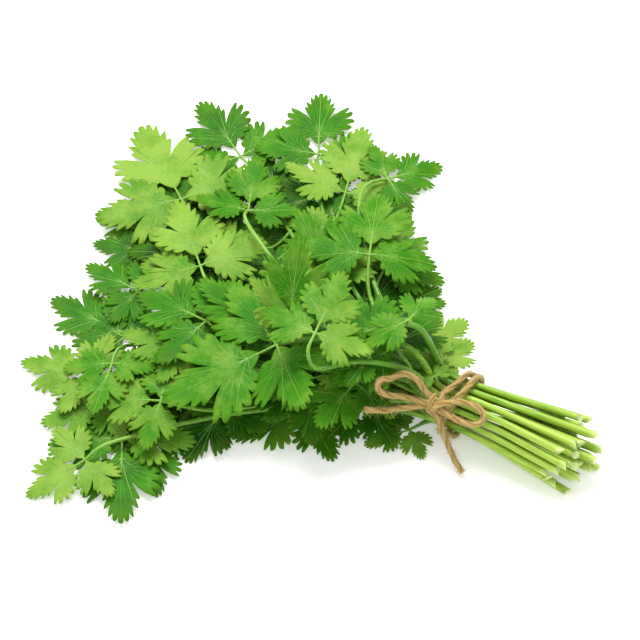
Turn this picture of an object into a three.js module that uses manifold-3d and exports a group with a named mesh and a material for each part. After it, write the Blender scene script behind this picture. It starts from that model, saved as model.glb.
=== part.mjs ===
// A bunch of coriander lying on a table, its stems tied with jute twine.
//
// Millimetres, +Z up, +X along the stems towards their cut ends. The origin is on the table, under the tie.
// Each leafy stem is one solid: a round stem, its leaf stalk and 3 or 5 toothed leaflets, joined with
// manifold-3d. The stems are packed in rows under the twine. The leaves are laid one after another on a
// height grid of what already lies there, so that each one rests on those under it and none passes
// through another.

import * as THREE from 'three';
import { mergeVertices } from 'three/addons/utils/BufferGeometryUtils.js';
import Module from 'manifold-3d';

const wasm = await Module();
wasm.setup();

const radians = THREE.MathUtils.degToRad;

// ---------------------------------------------------------------- driving dimensions

const STEM_ROWS = [4, 5, 6, 7, 6, 5, 4];        // stems in each row under the twine, from the bottom up
const STEM_PITCH = 3.8;                         // between neighbours in a row
const ROW_RISE = STEM_PITCH * Math.sqrt(3) / 2;
const BOTTOM_ROW_HEIGHT = 4.23;                 // centre of the bottom row, above the table
const STEM_RADIUS = { cut: 1.75, tie: 1.5, stalk: 1.15, node: 0.9 };
const STEM_SIDES = 5;

const TIE_HALF_WIDTH = 8;                       // the stems run straight and level this far from the tie
const CUT_END_X = 64;                           // the longest stems' cut ends
const CUT_END_CURVE = 12;                       // how much shorter the outermost stems are
const CUT_END_JITTER = 10;
const CUT_BOTTOM_HEIGHT = 1.6;                  // rows at the cut ends: the bottom one, and the step between
const CUT_ROW_RISE = 3.75;
const CUT_ROW_SPREAD = [2.6, 2.1, 1.75, 1.5, 1.6, 1.8, 2];   // each row's width, times that at the tie
const CUT_SIDE_JITTER = 0.9;

const BLADE = 0.7;                              // thickness of a leaf
const NECK = 0.8;                               // half width of a leaflet where it joins its stalk
const TERMINAL_STALK = 0.34;                    // the short stalk of the end leaflet, in leaf sizes
const LATERAL_SIZE = 0.86;
const LATERAL_YAW = 84;
const SECOND_PAIR_BACK = 0.95;                  // a second pair sits this far back along the stalk
const SECOND_PAIR_SIZE = 0.62;
const SECOND_PAIR_YAW = 75;
const PETIOLULE = 0.16;                         // the short stalk of a side leaflet

const GAP = 0.4;                                // left between a leaf or stem and what it lies on
const TABLE_GAP = 0.12;                         // left between the lowest leaves and the table
const CELL = 0.5;                               // of the height grid
const GRID = { x: -240, y: -150, columns: 640, rows: 600 };

const TWINE_RADIUS = 1.35;
const TWINE_SIDES = 8;
const TWINE_STEP = 4.2;
const KNOT_RADIUS = new THREE.Vector3(3.1, 2.3, 2.3);
const TWINE_CLEARANCE = 0.55;

// ---------------------------------------------------------------- the sprigs

// One line for each leafy stem, in the order in which they were laid down. Each group is one row under
// the twine.
// fan: direction of the leaf from the tie, degrees round from -X towards +Y. reach: distance from the tie.
// turn: the leaf's own heading, on top of its fan. size: length of the end leaflet. leaflets: 3 or 5.
// tone: 0 deep green to 1 yellow green.
const SPRIG_FIELDS = ['fan', 'reach', 'turn', 'size', 'leaflets', 'tone'];
const SPRIGS = [
  [-38, 21, -12, 15, 3, 0.75],
  [-21, 63, -31, 26, 3, 0.5],
  [-17, 38, -38, 21, 3, 0.35],
  [41, 70, 120, 18, 3, 0.5],

  [-30, 130, -90, 21, 3, 0.45],
  [-24, 99, -60, 21, 3, 0.2],
  [-8, 156, 15, 24, 3, 0.35],
  [12, 168, -25, 21, 3, 0.6],
  [43, 84, 42, 26, 3, 0.55],

  [-30, 142, -84, 30, 3, 0.5],
  [-23, 150, -27, 21, 3, 0.7],
  [-18, 159, 12, 23, 3, 0.85],
  [0, 154, 1, 20, 3, 0.35],
  [31, 174, 2, 28, 3, 0.45],
  [42, 158, 27, 28, 3, 0.5],

  [-34, 158, -25, 21, 3, 0.85],
  [-26, 125, 12, 22, 3, 0.7],
  [-17, 149, -83, 21, 3, 0.5],
  [10, 143, -23, 21, 3, 0.1],
  [18, 168, 26, 38, 5, 0.85],
  [43, 131, 31, 29, 5, 0.75],
  [52, 133, 82, 20, 3, 0.5],

  [-27, 62, -2, 21, 3, 0.15],
  [-13, 119, 3, 21, 3, 0.5],
  [7, 132, 41, 30, 3, 0.85],
  [24, 141, 49, 23, 3, 0.5],
  [27, 89, 12, 25, 3, 0.65],
  [38, 84, 30, 30, 3, 0.5],

  [-20, 57, -20, 21, 3, 0.5],
  [-22, 44, -62, 21, 3, 0.4],
  [-7, 113, 13, 28, 3, 0.35],
  [-3, 91, 14, 25, 3, 0.55],
  [40, 34, 72, 20, 3, 0.95],

  [-3, 30, 30, 29, 3, 0.35],
  [-12, 79, -41, 39, 3, 0.5],
  [-2, 78, 76, 27, 3, 0.7],
  [-18, 61, 102, 24, 3, 0.65],
].map((row) => Object.fromEntries(SPRIG_FIELDS.map((field, i) => [field, row[i]])));

const DEEP_GREEN = new THREE.Color('#2f7a2a');
const BRIGHT_GREEN = new THREE.Color('#8cc82e');
const TWINE_COLOUR = '#c49a5b';

// ---------------------------------------------------------------- small helpers

const UP = new THREE.Vector3(0, 0, 1);

// A repeatable draw between -1 and 1 for sprig i.
function draw(i, k) {
  const s = Math.sin(i * 12.9898 + k * 78.233) * 43758.5453;
  return 2 * (s - Math.floor(s)) - 1;
}

// ---------------------------------------------------------------- one leaflet

// Half of a leaflet's outline for a length of 1: a side lobe with three teeth, and half of the end lobe.
const HALF_OUTLINE = [
  [0.27, 0.4], [0.4, 0.33], [0.58, 0.52], [0.58, 0.33], [0.75, 0.35],
  [0.5, 0.12],                                  // the notch between the lobes
  [0.86, 0.25], [0.85, 0.11],
].map(([x, y]) => new THREE.Vector2(x, y));
const RIB = [0, 0.45, 1];

// Triangles of one half. 0 to 2 are the rib's points, 3 the neck and 4 to 11 the outline's.
const HALF_TRIANGLES = [
  [0, 3, 4], [0, 4, 5], [0, 5, 1], [1, 5, 7], [5, 6, 7], [1, 7, 9], [7, 8, 9],
  [1, 9, 10], [1, 10, 11], [1, 11, 2],
];
const HALF_RIM = [0, 3, 4, 5, 6, 7, 8, 9, 10, 11, 2];
const RIB_COUNT = RIB.length;
const SIDE_COUNT = HALF_OUTLINE.length + 1;

// A point's number on the left (+y) or right side of the leaflet.
const onRight = (n) => (n < RIB_COUNT ? n : n + SIDE_COUNT);

// The height of a leaflet's surface: it droops to the tip, folds up or down along the rib, twists and waves.
function relief(x, y, form) {
  const wave = form.wave * Math.sin(3 * Math.atan2(y, x + 0.2) + form.phase) * (x * x + y * y);
  return form.twist * x * y - form.droop * x * x - form.fold * y * y + wave;
}

function leafletForm(i, j) {
  return {
    droop: 0.07 + 0.06 * draw(i, 10 * j + 1),
    fold: 0.07 + 0.11 * draw(i, 10 * j + 2),
    twist: 0.1 * draw(i, 10 * j + 3),
    wave: 0.05,
    phase: Math.PI * draw(i, 10 * j + 4),
    lean: radians(7 * draw(i, 10 * j + 5)),
  };
}

// The leaflet's points on its own plane, for its real size: the rib, the left side, then the right side.
function leafletPoints(leaflet) {
  const { size, stand, form } = leaflet;
  const neck = -stand / size;
  const flat = [
    ...RIB.map((x) => [x || neck, 0]),
    [neck, NECK / size],
    ...HALF_OUTLINE.map((p) => [p.x, p.y]),
  ];
  const right = flat.slice(RIB_COUNT).map(([x, y]) => [x, -y]);
  return [...flat, ...right].map(([x, y]) => new THREE.Vector3(
    stand + x * size,
    y * size,
    size * relief(Math.max(x, 0), y, form),
  ));
}

const FACE = [
  ...HALF_TRIANGLES.map(([a, b, c]) => [a, c, b]),
  ...HALF_TRIANGLES.map((t) => t.map(onRight)),
];
const RIM = [...HALF_RIM.slice(1, -1).reverse(), 0, ...HALF_RIM.slice(1).map(onRight)];

// A leaflet's upper and lower points, on its stalk at base, heading along, and nodding from level.
function blade(leaflet, base, heading, nod, lean) {
  const place = new THREE.Matrix4()
    .makeTranslation(base.x, base.y, base.z)
    .multiply(new THREE.Matrix4().makeRotationZ(Math.atan2(heading.y, heading.x) + radians(leaflet.yaw)))
    .multiply(new THREE.Matrix4().makeRotationY(nod))
    .multiply(new THREE.Matrix4().makeRotationX(lean));
  const middle = leafletPoints(leaflet);
  const side = (offset) => middle.map((p) => p.clone().addScaledVector(UP, offset).applyMatrix4(place));
  return { upper: side(BLADE / 2), lower: side(-BLADE / 2) };
}

function bladeGeometry({ upper, lower }) {
  const count = upper.length;
  const index = [];
  for (const [a, b, c] of FACE) index.push(a, b, c, a + count, c + count, b + count);
  RIM.forEach((a, k) => {
    const b = RIM[(k + 1) % RIM.length];
    index.push(a + count, b + count, b, a + count, b, a);
  });
  const geometry = new THREE.BufferGeometry().setFromPoints([...upper, ...lower]);
  geometry.setIndex(index);
  return geometry;
}

// ---------------------------------------------------------------- a compound leaf

// The leaflets of sprig i: each has a size, a short stalk, and the spot on the leaf's stalk where it grows.
function leafletsOf(sprig, i) {
  const { size } = sprig;
  const spots = [
    { back: 0, yaw: 0, size, stand: TERMINAL_STALK * size },
    { back: 0, yaw: LATERAL_YAW, size: LATERAL_SIZE * size },
    { back: 0, yaw: -LATERAL_YAW, size: LATERAL_SIZE * size },
  ];
  if (sprig.leaflets === 5) {
    const pair = { back: SECOND_PAIR_BACK * size, size: SECOND_PAIR_SIZE * size };
    spots.push({ ...pair, yaw: SECOND_PAIR_YAW }, { ...pair, yaw: -SECOND_PAIR_YAW });
  }
  return spots.map((spot, j) => ({
    stand: PETIOLULE * size,
    ...spot,
    yaw: spot.yaw + (j ? 7 : 4) * draw(i, 10 * j + 7),
    form: leafletForm(i, j),
  }));
}

// The plan direction that an angle of the fan means.
function fanDirection(degrees) {
  return new THREE.Vector3(-Math.cos(radians(degrees)), Math.sin(radians(degrees)), 0);
}

// ---------------------------------------------------------------- the height grid

const pile = new Float64Array(GRID.columns * GRID.rows).fill(TABLE_GAP - GAP);

// Visits the grid cells under a triangle, with the triangle's height at each one.
function eachCellUnder(a, b, c, visit) {
  const area = (b.x - a.x) * (c.y - a.y) - (c.x - a.x) * (b.y - a.y);
  if (Math.abs(area) < 1e-9) return;
  const first = (lows, origin) => Math.ceil((Math.min(...lows) - origin) / CELL - 0.5);
  const last = (highs, origin) => Math.floor((Math.max(...highs) - origin) / CELL - 0.5);
  const xs = [a.x, b.x, c.x];
  const ys = [a.y, b.y, c.y];
  for (let row = first(ys, GRID.y); row <= last(ys, GRID.y); row++) {
    const y = GRID.y + (row + 0.5) * CELL;
    for (let col = first(xs, GRID.x); col <= last(xs, GRID.x); col++) {
      const x = GRID.x + (col + 0.5) * CELL;
      const u = ((b.x - x) * (c.y - y) - (c.x - x) * (b.y - y)) / area;
      const v = ((c.x - x) * (a.y - y) - (a.x - x) * (c.y - y)) / area;
      const w = 1 - u - v;
      if (Math.min(u, v, w) < -0.02) continue;
      visit(row * GRID.columns + col, u * a.z + v * b.z + w * c.z);
    }
  }
}

// Visits the grid cells under a round stretch of stem from p to q, with the stem's axis height there, half
// its vertical thickness, and how far along the stretch the cell is.
function eachCellOfStem(p, q, radiusP, radiusQ, visit) {
  const along = new THREE.Vector2(q.x - p.x, q.y - p.y);
  const length = along.length();
  if (length < 1e-6) return;
  along.divideScalar(length);
  const slope = (q.z - p.z) / length;
  const widest = Math.max(radiusP, radiusQ) + CELL;
  const rowStart = Math.floor((Math.min(p.y, q.y) - widest - GRID.y) / CELL);
  const rowEnd = Math.ceil((Math.max(p.y, q.y) + widest - GRID.y) / CELL);
  const colStart = Math.floor((Math.min(p.x, q.x) - widest - GRID.x) / CELL);
  const colEnd = Math.ceil((Math.max(p.x, q.x) + widest - GRID.x) / CELL);
  for (let row = rowStart; row <= rowEnd; row++) {
    for (let col = colStart; col <= colEnd; col++) {
      const dx = GRID.x + (col + 0.5) * CELL - p.x;
      const dy = GRID.y + (row + 0.5) * CELL - p.y;
      const s = THREE.MathUtils.clamp((dx * along.x + dy * along.y) / length, 0, 1);
      const off = Math.hypot(dx - s * length * along.x, dy - s * length * along.y);
      const radius = radiusP + s * (radiusQ - radiusP);
      if (off > radius) continue;
      const half = Math.sqrt(radius * radius - off * off) * Math.hypot(1, Math.min(Math.abs(slope), 1));
      visit(row * GRID.columns + col, p.z + s * (q.z - p.z), half, s);
    }
  }
}

// The highest thing in a cell and the eight round it.
function pileAround(cell) {
  let top = -GAP;
  for (let dr = -GRID.columns; dr <= GRID.columns; dr += GRID.columns) {
    for (let dc = -1; dc <= 1; dc++) top = Math.max(top, pile[cell + dr + dc]);
  }
  return top;
}

function raisePile(cell, height) {
  if (height > pile[cell]) pile[cell] = height;
}

// ---------------------------------------------------------------- laying one sprig

// The slot of each stem under the twine: the sprigs laid first are in the bottom row, and each row runs from
// front to back as its leaves fan out, so that the stems part without crossing.
function stemSlots() {
  const slots = [];
  let next = 0;
  STEM_ROWS.forEach((count, row) => {
    const members = Array.from({ length: count }, (_, k) => next + k);
    members.sort((i, j) => SPRIGS[i].fan - SPRIGS[j].fan);
    members.forEach((i, column) => {
      slots[i] = { row, y: (column - (count - 1) / 2) * STEM_PITCH, z: BOTTOM_ROW_HEIGHT + row * ROW_RISE };
    });
    next += count;
  });
  return slots;
}

const SLOTS = stemSlots();

// The straight stretch from the cut end to the leaf side of the tie, as stations of point and radius.
function cutStretch(i) {
  const { row, y, z } = SLOTS[i];
  const endY = y * CUT_ROW_SPREAD[row] + CUT_SIDE_JITTER * draw(i, 91);
  const endZ = CUT_BOTTOM_HEIGHT + row * CUT_ROW_RISE;
  const endX = CUT_END_X - CUT_END_CURVE * (endY / 17) ** 2 - CUT_END_JITTER * (0.5 + 0.5 * draw(i, 92));
  const part = (endX - TIE_HALF_WIDTH) / (CUT_END_X - TIE_HALF_WIDTH);
  return [
    { point: new THREE.Vector3(endX, y + part * (endY - y), z + part * (endZ - z)), radius: STEM_RADIUS.cut },
    { point: new THREE.Vector3(TIE_HALF_WIDTH, y, z), radius: STEM_RADIUS.tie },
    { point: new THREE.Vector3(-TIE_HALF_WIDTH, y, z), radius: STEM_RADIUS.tie },
  ];
}

const FAN_STATIONS = [0.2, 0.5, 0.8];
const LEAVING_BEND = 0.33;                      // how far the curve keeps its first and last direction
const ARRIVING_BEND = 0.14;
const SETTLING_PASSES = 200;
const STEM_SAG = 5;                             // a stem hangs at most this far between two stations
const LOWEST_STALK = 1.2;
const MOST_LIFT = 30;                           // a leaf may stand this far above where its stalk would rest
const NOD = { up: radians(-75), down: radians(10) };
const LEANS = [-24, -12, 0, 12, 24].map(radians);   // tried for each leaflet, about its own rib
const NOD_STEPS = 7;
const TIE_MARGIN = 0.4;                         // share of the first stretch that the rows keep clear

// The plan of the curved stretch between the tie and the leaf. It leaves straight and arrives along the leaf.
function fanStretch(sprig, start, arrival) {
  const reach = Math.hypot(arrival.x - start.x, arrival.y - start.y);
  const heading = fanDirection(sprig.fan + sprig.turn);
  const curve = new THREE.CubicBezierCurve3(
    start,
    start.clone().add(new THREE.Vector3(-LEAVING_BEND * reach, 0, 0)),
    arrival.clone().addScaledVector(heading, -ARRIVING_BEND * reach),
    arrival,
  );
  return FAN_STATIONS.map((t) => ({
    point: curve.getPoint(t),
    radius: THREE.MathUtils.lerp(STEM_RADIUS.tie, STEM_RADIUS.stalk, t),
  }));
}

// The straight stretch that carries the leaflets, up to where the end leaflet and the first pair meet.
function leafStretch(sprig) {
  const node = fanDirection(sprig.fan).multiplyScalar(sprig.reach);
  const heading = fanDirection(sprig.fan + sprig.turn);
  const start = sprig.leaflets === 5 ? SECOND_PAIR_BACK + 0.25 : 0.35;
  return [
    { point: node.clone().addScaledVector(heading, -start * sprig.size), radius: STEM_RADIUS.stalk },
    { point: node, radius: STEM_RADIUS.node },
  ];
}

// Where a stretch of stem falls shortest of clearing the pile: by how much, and how far along it.
function shortfall(p, q, from) {
  let worst = { need: 0, at: 1 };
  eachCellOfStem(p.point, q.point, p.radius, q.radius, (cell, axis, half, s) => {
    const need = pile[cell] + GAP - (axis - half);
    if (s > from && need > worst.need) worst = { need, at: s };
  });
  return worst;
}

// Raises the stations of a run, all but the first, until the stem clears the pile. They start on a slope down
// from the tie to the table.
function settleStem(run) {
  const last = run.length - 1;
  run.forEach(({ point }, k) => {
    if (k) point.z = THREE.MathUtils.lerp(run[0].point.z, LOWEST_STALK, k / last);
  });
  for (let pass = 0; pass < SETTLING_PASSES; pass++) {
    let worst = 0;
    for (let k = 1; k <= last; k++) {
      const { need, at } = shortfall(run[k - 1], run[k], k === 1 ? TIE_MARGIN : 0);
      const give = k === 1 ? 0 : 1 - at;
      const scale = need / (give * (1 - at) + at * at);
      run[k - 1].point.z += scale * give;
      run[k].point.z += scale * at;
      worst = Math.max(worst, need);
    }
    for (let k = 1; k < last; k++) {
      const middle = (run[k - 1].point.z + run[k + 1].point.z) / 2;
      run[k].point.z = Math.max(run[k].point.z, middle - STEM_SAG);
    }
    if (worst < 0.01) return;
  }
}

const topOf = ({ upper }) => Math.max(...upper.map((p) => p.z));

function clearsPile({ lower }) {
  let clear = true;
  for (const [a, b, c] of FACE) {
    eachCellUnder(lower[a], lower[b], lower[c], (cell, under) => {
      if (clear && under < pileAround(cell) + GAP) clear = false;
    });
    if (!clear) break;
  }
  return clear;
}

// Nods a leaflet down from its stalk until it rests on the pile, for each lean, and keeps the lowest pose.
// Null where even the steepest pose is too low.
function settleLeaflet(leaflet, base, heading) {
  let best = null;
  for (const lean of LEANS) {
    const pose = (nod) => blade(leaflet, base, heading, nod, lean + leaflet.form.lean);
    let [high, low] = [NOD.up, NOD.down];
    if (!clearsPile(pose(high))) continue;
    if (clearsPile(pose(low))) high = low;
    for (let step = 0; step < NOD_STEPS && high !== low; step++) {
      const middle = (high + low) / 2;
      if (clearsPile(pose(middle))) high = middle;
      else low = middle;
    }
    const found = pose(high);
    if (!best || topOf(found) < topOf(best)) best = found;
  }
  return best;
}

// The point of the leaf's stalk a given way back from its node.
function stalkPoint([{ point: start }, { point: node }], back) {
  return node.clone().lerp(start, back / Math.hypot(start.x - node.x, start.y - node.y));
}

// Lays sprig i on the pile and returns its stations and blades in their final places.
function layDown(sprig, i) {
  const leafPart = leafStretch(sprig);
  const cutPart = cutStretch(i);
  const tie = cutPart[2];
  const fanPart = fanStretch(sprig, tie.point, leafPart[0].point);
  settleStem([tie, ...fanPart, ...leafPart]);

  const heading = fanDirection(sprig.fan + sprig.turn);
  const leaflets = leafletsOf(sprig, i);
  let best = { height: Infinity };
  for (let lift = 0; lift < MOST_LIFT; lift++) {
    const spot = (back) => stalkPoint(leafPart, back).setZ(stalkPoint(leafPart, back).z + lift);
    const blades = leaflets.map((one) => settleLeaflet(one, spot(one.back), heading));
    if (blades.includes(null)) continue;
    const height = Math.max(...blades.map(topOf), ...leafPart.map(({ point }) => point.z + lift));
    if (height < best.height) best = { height, lift, blades };
  }
  const { blades } = best;
  for (const { point } of leafPart) point.z += best.lift;

  for (const { upper } of blades) {
    for (const [a, b, c] of FACE) eachCellUnder(upper[a], upper[b], upper[c], raisePile);
  }
  const stations = [...cutPart, ...fanPart, ...leafPart];
  for (let k = 1; k < stations.length; k++) {
    const [p, q] = [stations[k - 1], stations[k]];
    eachCellOfStem(p.point, q.point, p.radius, q.radius, (cell, axis, half) => raisePile(cell, axis + half));
  }
  return { stations, blades };
}

// ---------------------------------------------------------------- solids

function solidOf(geometry) {
  const bare = geometry.clone();
  bare.deleteAttribute('normal');
  bare.deleteAttribute('uv');
  const merged = mergeVertices(bare, 1e-4);
  return new wasm.Manifold(new wasm.Mesh({
    numProp: 3,
    vertProperties: merged.attributes.position.array,
    triVerts: new Uint32Array(merged.index.array),
  }));
}

function geometryOf(solid) {
  const mesh = solid.getMesh();
  const geometry = new THREE.BufferGeometry();
  geometry.setAttribute('position', new THREE.BufferAttribute(new Float32Array(mesh.vertProperties), 3));
  geometry.setIndex(new THREE.BufferAttribute(new Uint32Array(mesh.triVerts), 1));
  const flat = geometry.toNonIndexed();
  flat.computeVertexNormals();
  return flat;
}

// A round stem through the stations: a cylinder geometry with each of its rings moved to a station.
function stemGeometry(stations) {
  const rings = stations.length - 1;
  const geometry = new THREE.CylinderGeometry(1, 1, rings, STEM_SIDES, rings);
  const position = geometry.attributes.position;
  const frames = stations.map((station, k) => {
    const before = stations[Math.max(k - 1, 0)].point;
    const after = stations[Math.min(k + 1, rings)].point;
    const along = after.clone().sub(before).normalize();
    const across = new THREE.Vector3().crossVectors(UP, along).normalize();
    return { ...station, across, above: new THREE.Vector3().crossVectors(along, across) };
  });
  const spot = new THREE.Vector3();
  for (let n = 0; n < position.count; n++) {
    const { point, radius, across, above } = frames[Math.round(rings / 2 - position.getY(n))];
    spot.copy(point)
      .addScaledVector(across, radius * position.getX(n))
      .addScaledVector(above, radius * position.getZ(n));
    position.setXYZ(n, spot.x, spot.y, spot.z);
  }
  return geometry;
}

// What lies under the table's surface is cut away, which leaves small flats to rest on.
const BELOW_TABLE = solidOf(new THREE.BoxGeometry(900, 900, 40).translate(0, 0, -20));

function sprigSolid({ stations, blades }) {
  let solid = solidOf(stemGeometry(stations));
  for (const one of blades) solid = solid.add(solidOf(bladeGeometry(one)));
  return solid.subtract(BELOW_TABLE);
}

// ---------------------------------------------------------------- the twine

const TIE_CENTRE_HEIGHT = BOTTOM_ROW_HEIGHT + 3 * ROW_RISE;

// Distance of the twine's centre from the middle of the bundle: a hexagon of stems with rounded corners.
function wrapRadius(degrees) {
  const reach = 3 * STEM_PITCH;
  const round = STEM_RADIUS.tie + TWINE_CLEARANCE + TWINE_RADIUS;
  const fromCorner = radians(30 - Math.abs((((degrees % 60) + 60) % 60) - 30));
  const flat = reach * Math.cos(radians(30)) + round;
  const atFlat = flat / Math.cos(radians(30) - fromCorner);
  const inside = round * round - (reach * Math.sin(fromCorner)) ** 2;
  const atCorner = inside > 0 ? reach * Math.cos(fromCorner) + Math.sqrt(inside) : Infinity;
  return Math.min(atFlat, atCorner);
}

const KNOT = new THREE.Vector3(-7, -12.2, 26.6);

// The two turns round the bundle: angle (from +Y, through the top), place along X, and how far it stands out.
const WRAP_STATIONS = [
  [120, -5.2, 1.2], [100, -3, 0], [80, -1.4, 0], [60, 0, 0], [40, 1.2, 0], [20, 1.4, 0], [0, 1, 0],
  [-30, 0.5, 0], [-60, 0.3, 0], [-90, 0, 0], [-120, -1, 0], [-150, -1.9, 0], [-180, -2.2, 0], [-210, -1.4, 0],
  [-230, -0.2, 0], [-250, 1.4, 0], [-270, 2.8, 0], [-300, 4, 0], [-320, 4.3, 0], [-340, 4.3, 0], [-360, 4, 0],
  [-390, 3.5, 0], [-420, 3.3, 0], [-450, 3, 0], [-480, 2.3, 0], [-510, 1.2, 0], [-535, -0.2, 0.6],
  [-560, -2.6, 2.4],
];

const LEFT_LOOP = [[-14.5, -10.6, 29.5], [-20.2, -12.8, 33], [-25.2, -16.6, 37], [-28.2, -20.4, 37.5],
  [-27.8, -23, 34.5], [-24.4, -21.8, 31.5], [-19.4, -17.6, 29], [-13.2, -14.4, 27.5]];
const RIGHT_LOOP = [[0, -10.9, 30], [5.5, -8.4, 30], [12.1, -7.8, 29], [15.4, -9.6, 26.5],
  [13.1, -13.4, 24.5], [6.1, -14.6, 24.8], [-1.2, -14, 26]];
const LEFT_END = [[-13.4, -16.8, 25.5], [-19.2, -20.5, 25.5], [-24.2, -25.6, 27.5], [-30.4, -29, 29]];
const LOWER_END = [[-4.3, -14.9, 24], [0.5, -17.2, 16], [6, -19.7, 6], [12.6, -23.7, 1.4]];

function twineTube(points) {
  const line = new THREE.CatmullRomCurve3(points);
  const circle = new THREE.Shape(Array.from({ length: TWINE_SIDES }, (_, k) => {
    const angle = 2 * Math.PI * (k + 0.5) / TWINE_SIDES;
    return new THREE.Vector2(TWINE_RADIUS * Math.cos(angle), TWINE_RADIUS * Math.sin(angle));
  }));
  const steps = Math.round(line.getLength() / TWINE_STEP);
  return new THREE.ExtrudeGeometry(circle, { steps, extrudePath: line });
}

// Twine that runs from the knot through the points given, and stays above the pile all along.
function laidTwine(points) {
  const line = new THREE.CatmullRomCurve3([KNOT, ...points.map((p) => new THREE.Vector3(...p))]);
  const reach = TWINE_RADIUS + 1;
  const [knot, ...rest] = line.getSpacedPoints(Math.round(line.getLength() / TWINE_STEP));
  const laid = rest.map((point) => {
    let top = 0;
    eachCellOfStem(point, point.clone().setX(point.x + 1), reach, reach, (cell) => {
      top = Math.max(top, pile[cell]);
    });
    return point.setZ(Math.max(point.z, top + TWINE_RADIUS + TWINE_CLEARANCE));
  });
  return [knot, ...laid];
}

function twineSolid() {
  const wraps = WRAP_STATIONS.map(([degrees, x, out]) => {
    const radius = wrapRadius(degrees) + out;
    return new THREE.Vector3(
      x,
      radius * Math.cos(radians(degrees)),
      TIE_CENTRE_HEIGHT + radius * Math.sin(radians(degrees)),
    );
  });
  const runs = [
    [KNOT, ...wraps, KNOT],
    [...laidTwine(LEFT_LOOP), KNOT],
    [...laidTwine(RIGHT_LOOP), KNOT],
    laidTwine(LEFT_END),
    laidTwine(LOWER_END),
  ];
  const knot = new THREE.SphereGeometry(1, 8, 6);
  knot.scale(...KNOT_RADIUS).translate(...KNOT);
  let solid = solidOf(knot);
  for (const points of runs) solid = solid.add(solidOf(twineTube(points)));
  return solid.subtract(BELOW_TABLE);
}

// ---------------------------------------------------------------- the bunch

const group = new THREE.Group();

function addNode(name, solid, colour, roughness) {
  const material = new THREE.MeshStandardMaterial({ color: colour, roughness, metalness: 0 });
  const mesh = new THREE.Mesh(geometryOf(solid), material);
  mesh.name = name;
  group.add(mesh);
}

SPRIGS.forEach((sprig, i) => {
  const colour = DEEP_GREEN.clone().lerp(BRIGHT_GREEN, sprig.tone);
  addNode(`sprig_${String(i + 1).padStart(2, '0')}`, sprigSolid(layDown(sprig, i)), colour, 0.5);
});
addNode('twine', twineSolid(), TWINE_COLOUR, 0.9);

export default group;
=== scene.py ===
# %% [markdown]
# # A bunch of coriander tied with jute twine
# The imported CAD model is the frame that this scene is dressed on: 37 leafy stems and one length of
# twine. Everything here is in metres and in the model's own place: +X runs to the cut ends, +Z is
# up, and the origin is on the table under the tie. The CAD stems and leaves have few faces, because
# they are for collision. This script keeps their places and their forms, and makes the fine leaves,
# ribbed stems and twisted twine that are seen.

# %% Load the frame
import math

import bpy
from mathutils import Euler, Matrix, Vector
from mathutils.bvhtree import BVHTree
from mathutils.kdtree import KDTree


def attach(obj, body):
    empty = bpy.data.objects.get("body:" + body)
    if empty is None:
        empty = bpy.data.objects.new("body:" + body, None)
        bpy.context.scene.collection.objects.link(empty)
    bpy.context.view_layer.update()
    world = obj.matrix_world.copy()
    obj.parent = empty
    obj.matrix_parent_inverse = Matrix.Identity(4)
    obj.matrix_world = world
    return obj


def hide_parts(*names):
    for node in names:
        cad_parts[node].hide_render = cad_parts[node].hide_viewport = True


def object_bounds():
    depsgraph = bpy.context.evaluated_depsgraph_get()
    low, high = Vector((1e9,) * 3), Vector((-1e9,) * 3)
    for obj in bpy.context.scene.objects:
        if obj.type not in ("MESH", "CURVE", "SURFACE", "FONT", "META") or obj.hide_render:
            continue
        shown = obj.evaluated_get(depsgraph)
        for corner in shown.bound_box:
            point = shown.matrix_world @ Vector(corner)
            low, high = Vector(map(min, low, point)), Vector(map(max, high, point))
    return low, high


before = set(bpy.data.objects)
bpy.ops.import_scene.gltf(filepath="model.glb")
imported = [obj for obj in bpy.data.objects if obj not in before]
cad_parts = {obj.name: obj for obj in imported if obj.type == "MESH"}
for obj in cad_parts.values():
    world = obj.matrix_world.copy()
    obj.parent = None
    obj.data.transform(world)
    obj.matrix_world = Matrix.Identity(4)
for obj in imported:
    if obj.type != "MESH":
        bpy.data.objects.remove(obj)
MM = 0.001
cad_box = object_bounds()
print("CAD nodes:", len(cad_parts))

# %% [markdown]
# ## The camera
# The bunch is seen from in front and well above, with its stems towards the lower right. A long
# lens a metre away flattens the view, as a product shot does. The camera is placed from two angles
# and one point that is to land on one pixel, so that its numbers can be read and changed.

# %% The camera
AZIMUTH, ELEVATION = math.radians(26), math.radians(54)
DISTANCE = 1.0
PIXEL = 0.42 * MM
IMAGE, SENSOR = 640, 36
AIM, AIM_PIXEL = Vector((0, 0, 0.014)), (459, 404)

right = Vector((math.cos(AZIMUTH), math.sin(AZIMUTH), 0))
back = Vector((math.sin(AZIMUTH) * math.cos(ELEVATION),
               -math.cos(AZIMUTH) * math.cos(ELEVATION),
               math.sin(ELEVATION)))
above = back.cross(right)
shift_right = (AIM_PIXEL[0] - IMAGE / 2) * PIXEL
shift_down = (AIM_PIXEL[1] - IMAGE / 2) * PIXEL
eye = AIM - shift_right * right + shift_down * above + DISTANCE * back

camera = bpy.data.objects.new("camera", bpy.data.cameras.new("camera"))
camera.data.sensor_width = SENSOR
camera.data.lens = SENSOR * DISTANCE / (IMAGE * PIXEL)
camera.location = eye
camera.rotation_euler = back.to_track_quat("Z", "Y").to_euler()
bpy.context.collection.objects.link(camera)
bpy.context.scene.camera = camera
print("camera at", [round(c, 3) for c in eye], "lens", round(camera.data.lens, 1), "mm")

# %% [markdown]
# ## Where each leafy stem goes
# The stems are packed in seven rows under the twine, and from there each one curves out to its own
# leaf. That plan is a rule with a few numbers for each stem, so it is worked out here as it was for
# the CAD model. What can't be worked out is how high each stem and leaf came to rest on those under
# it. That is measured on the CAD nodes further down.

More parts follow.
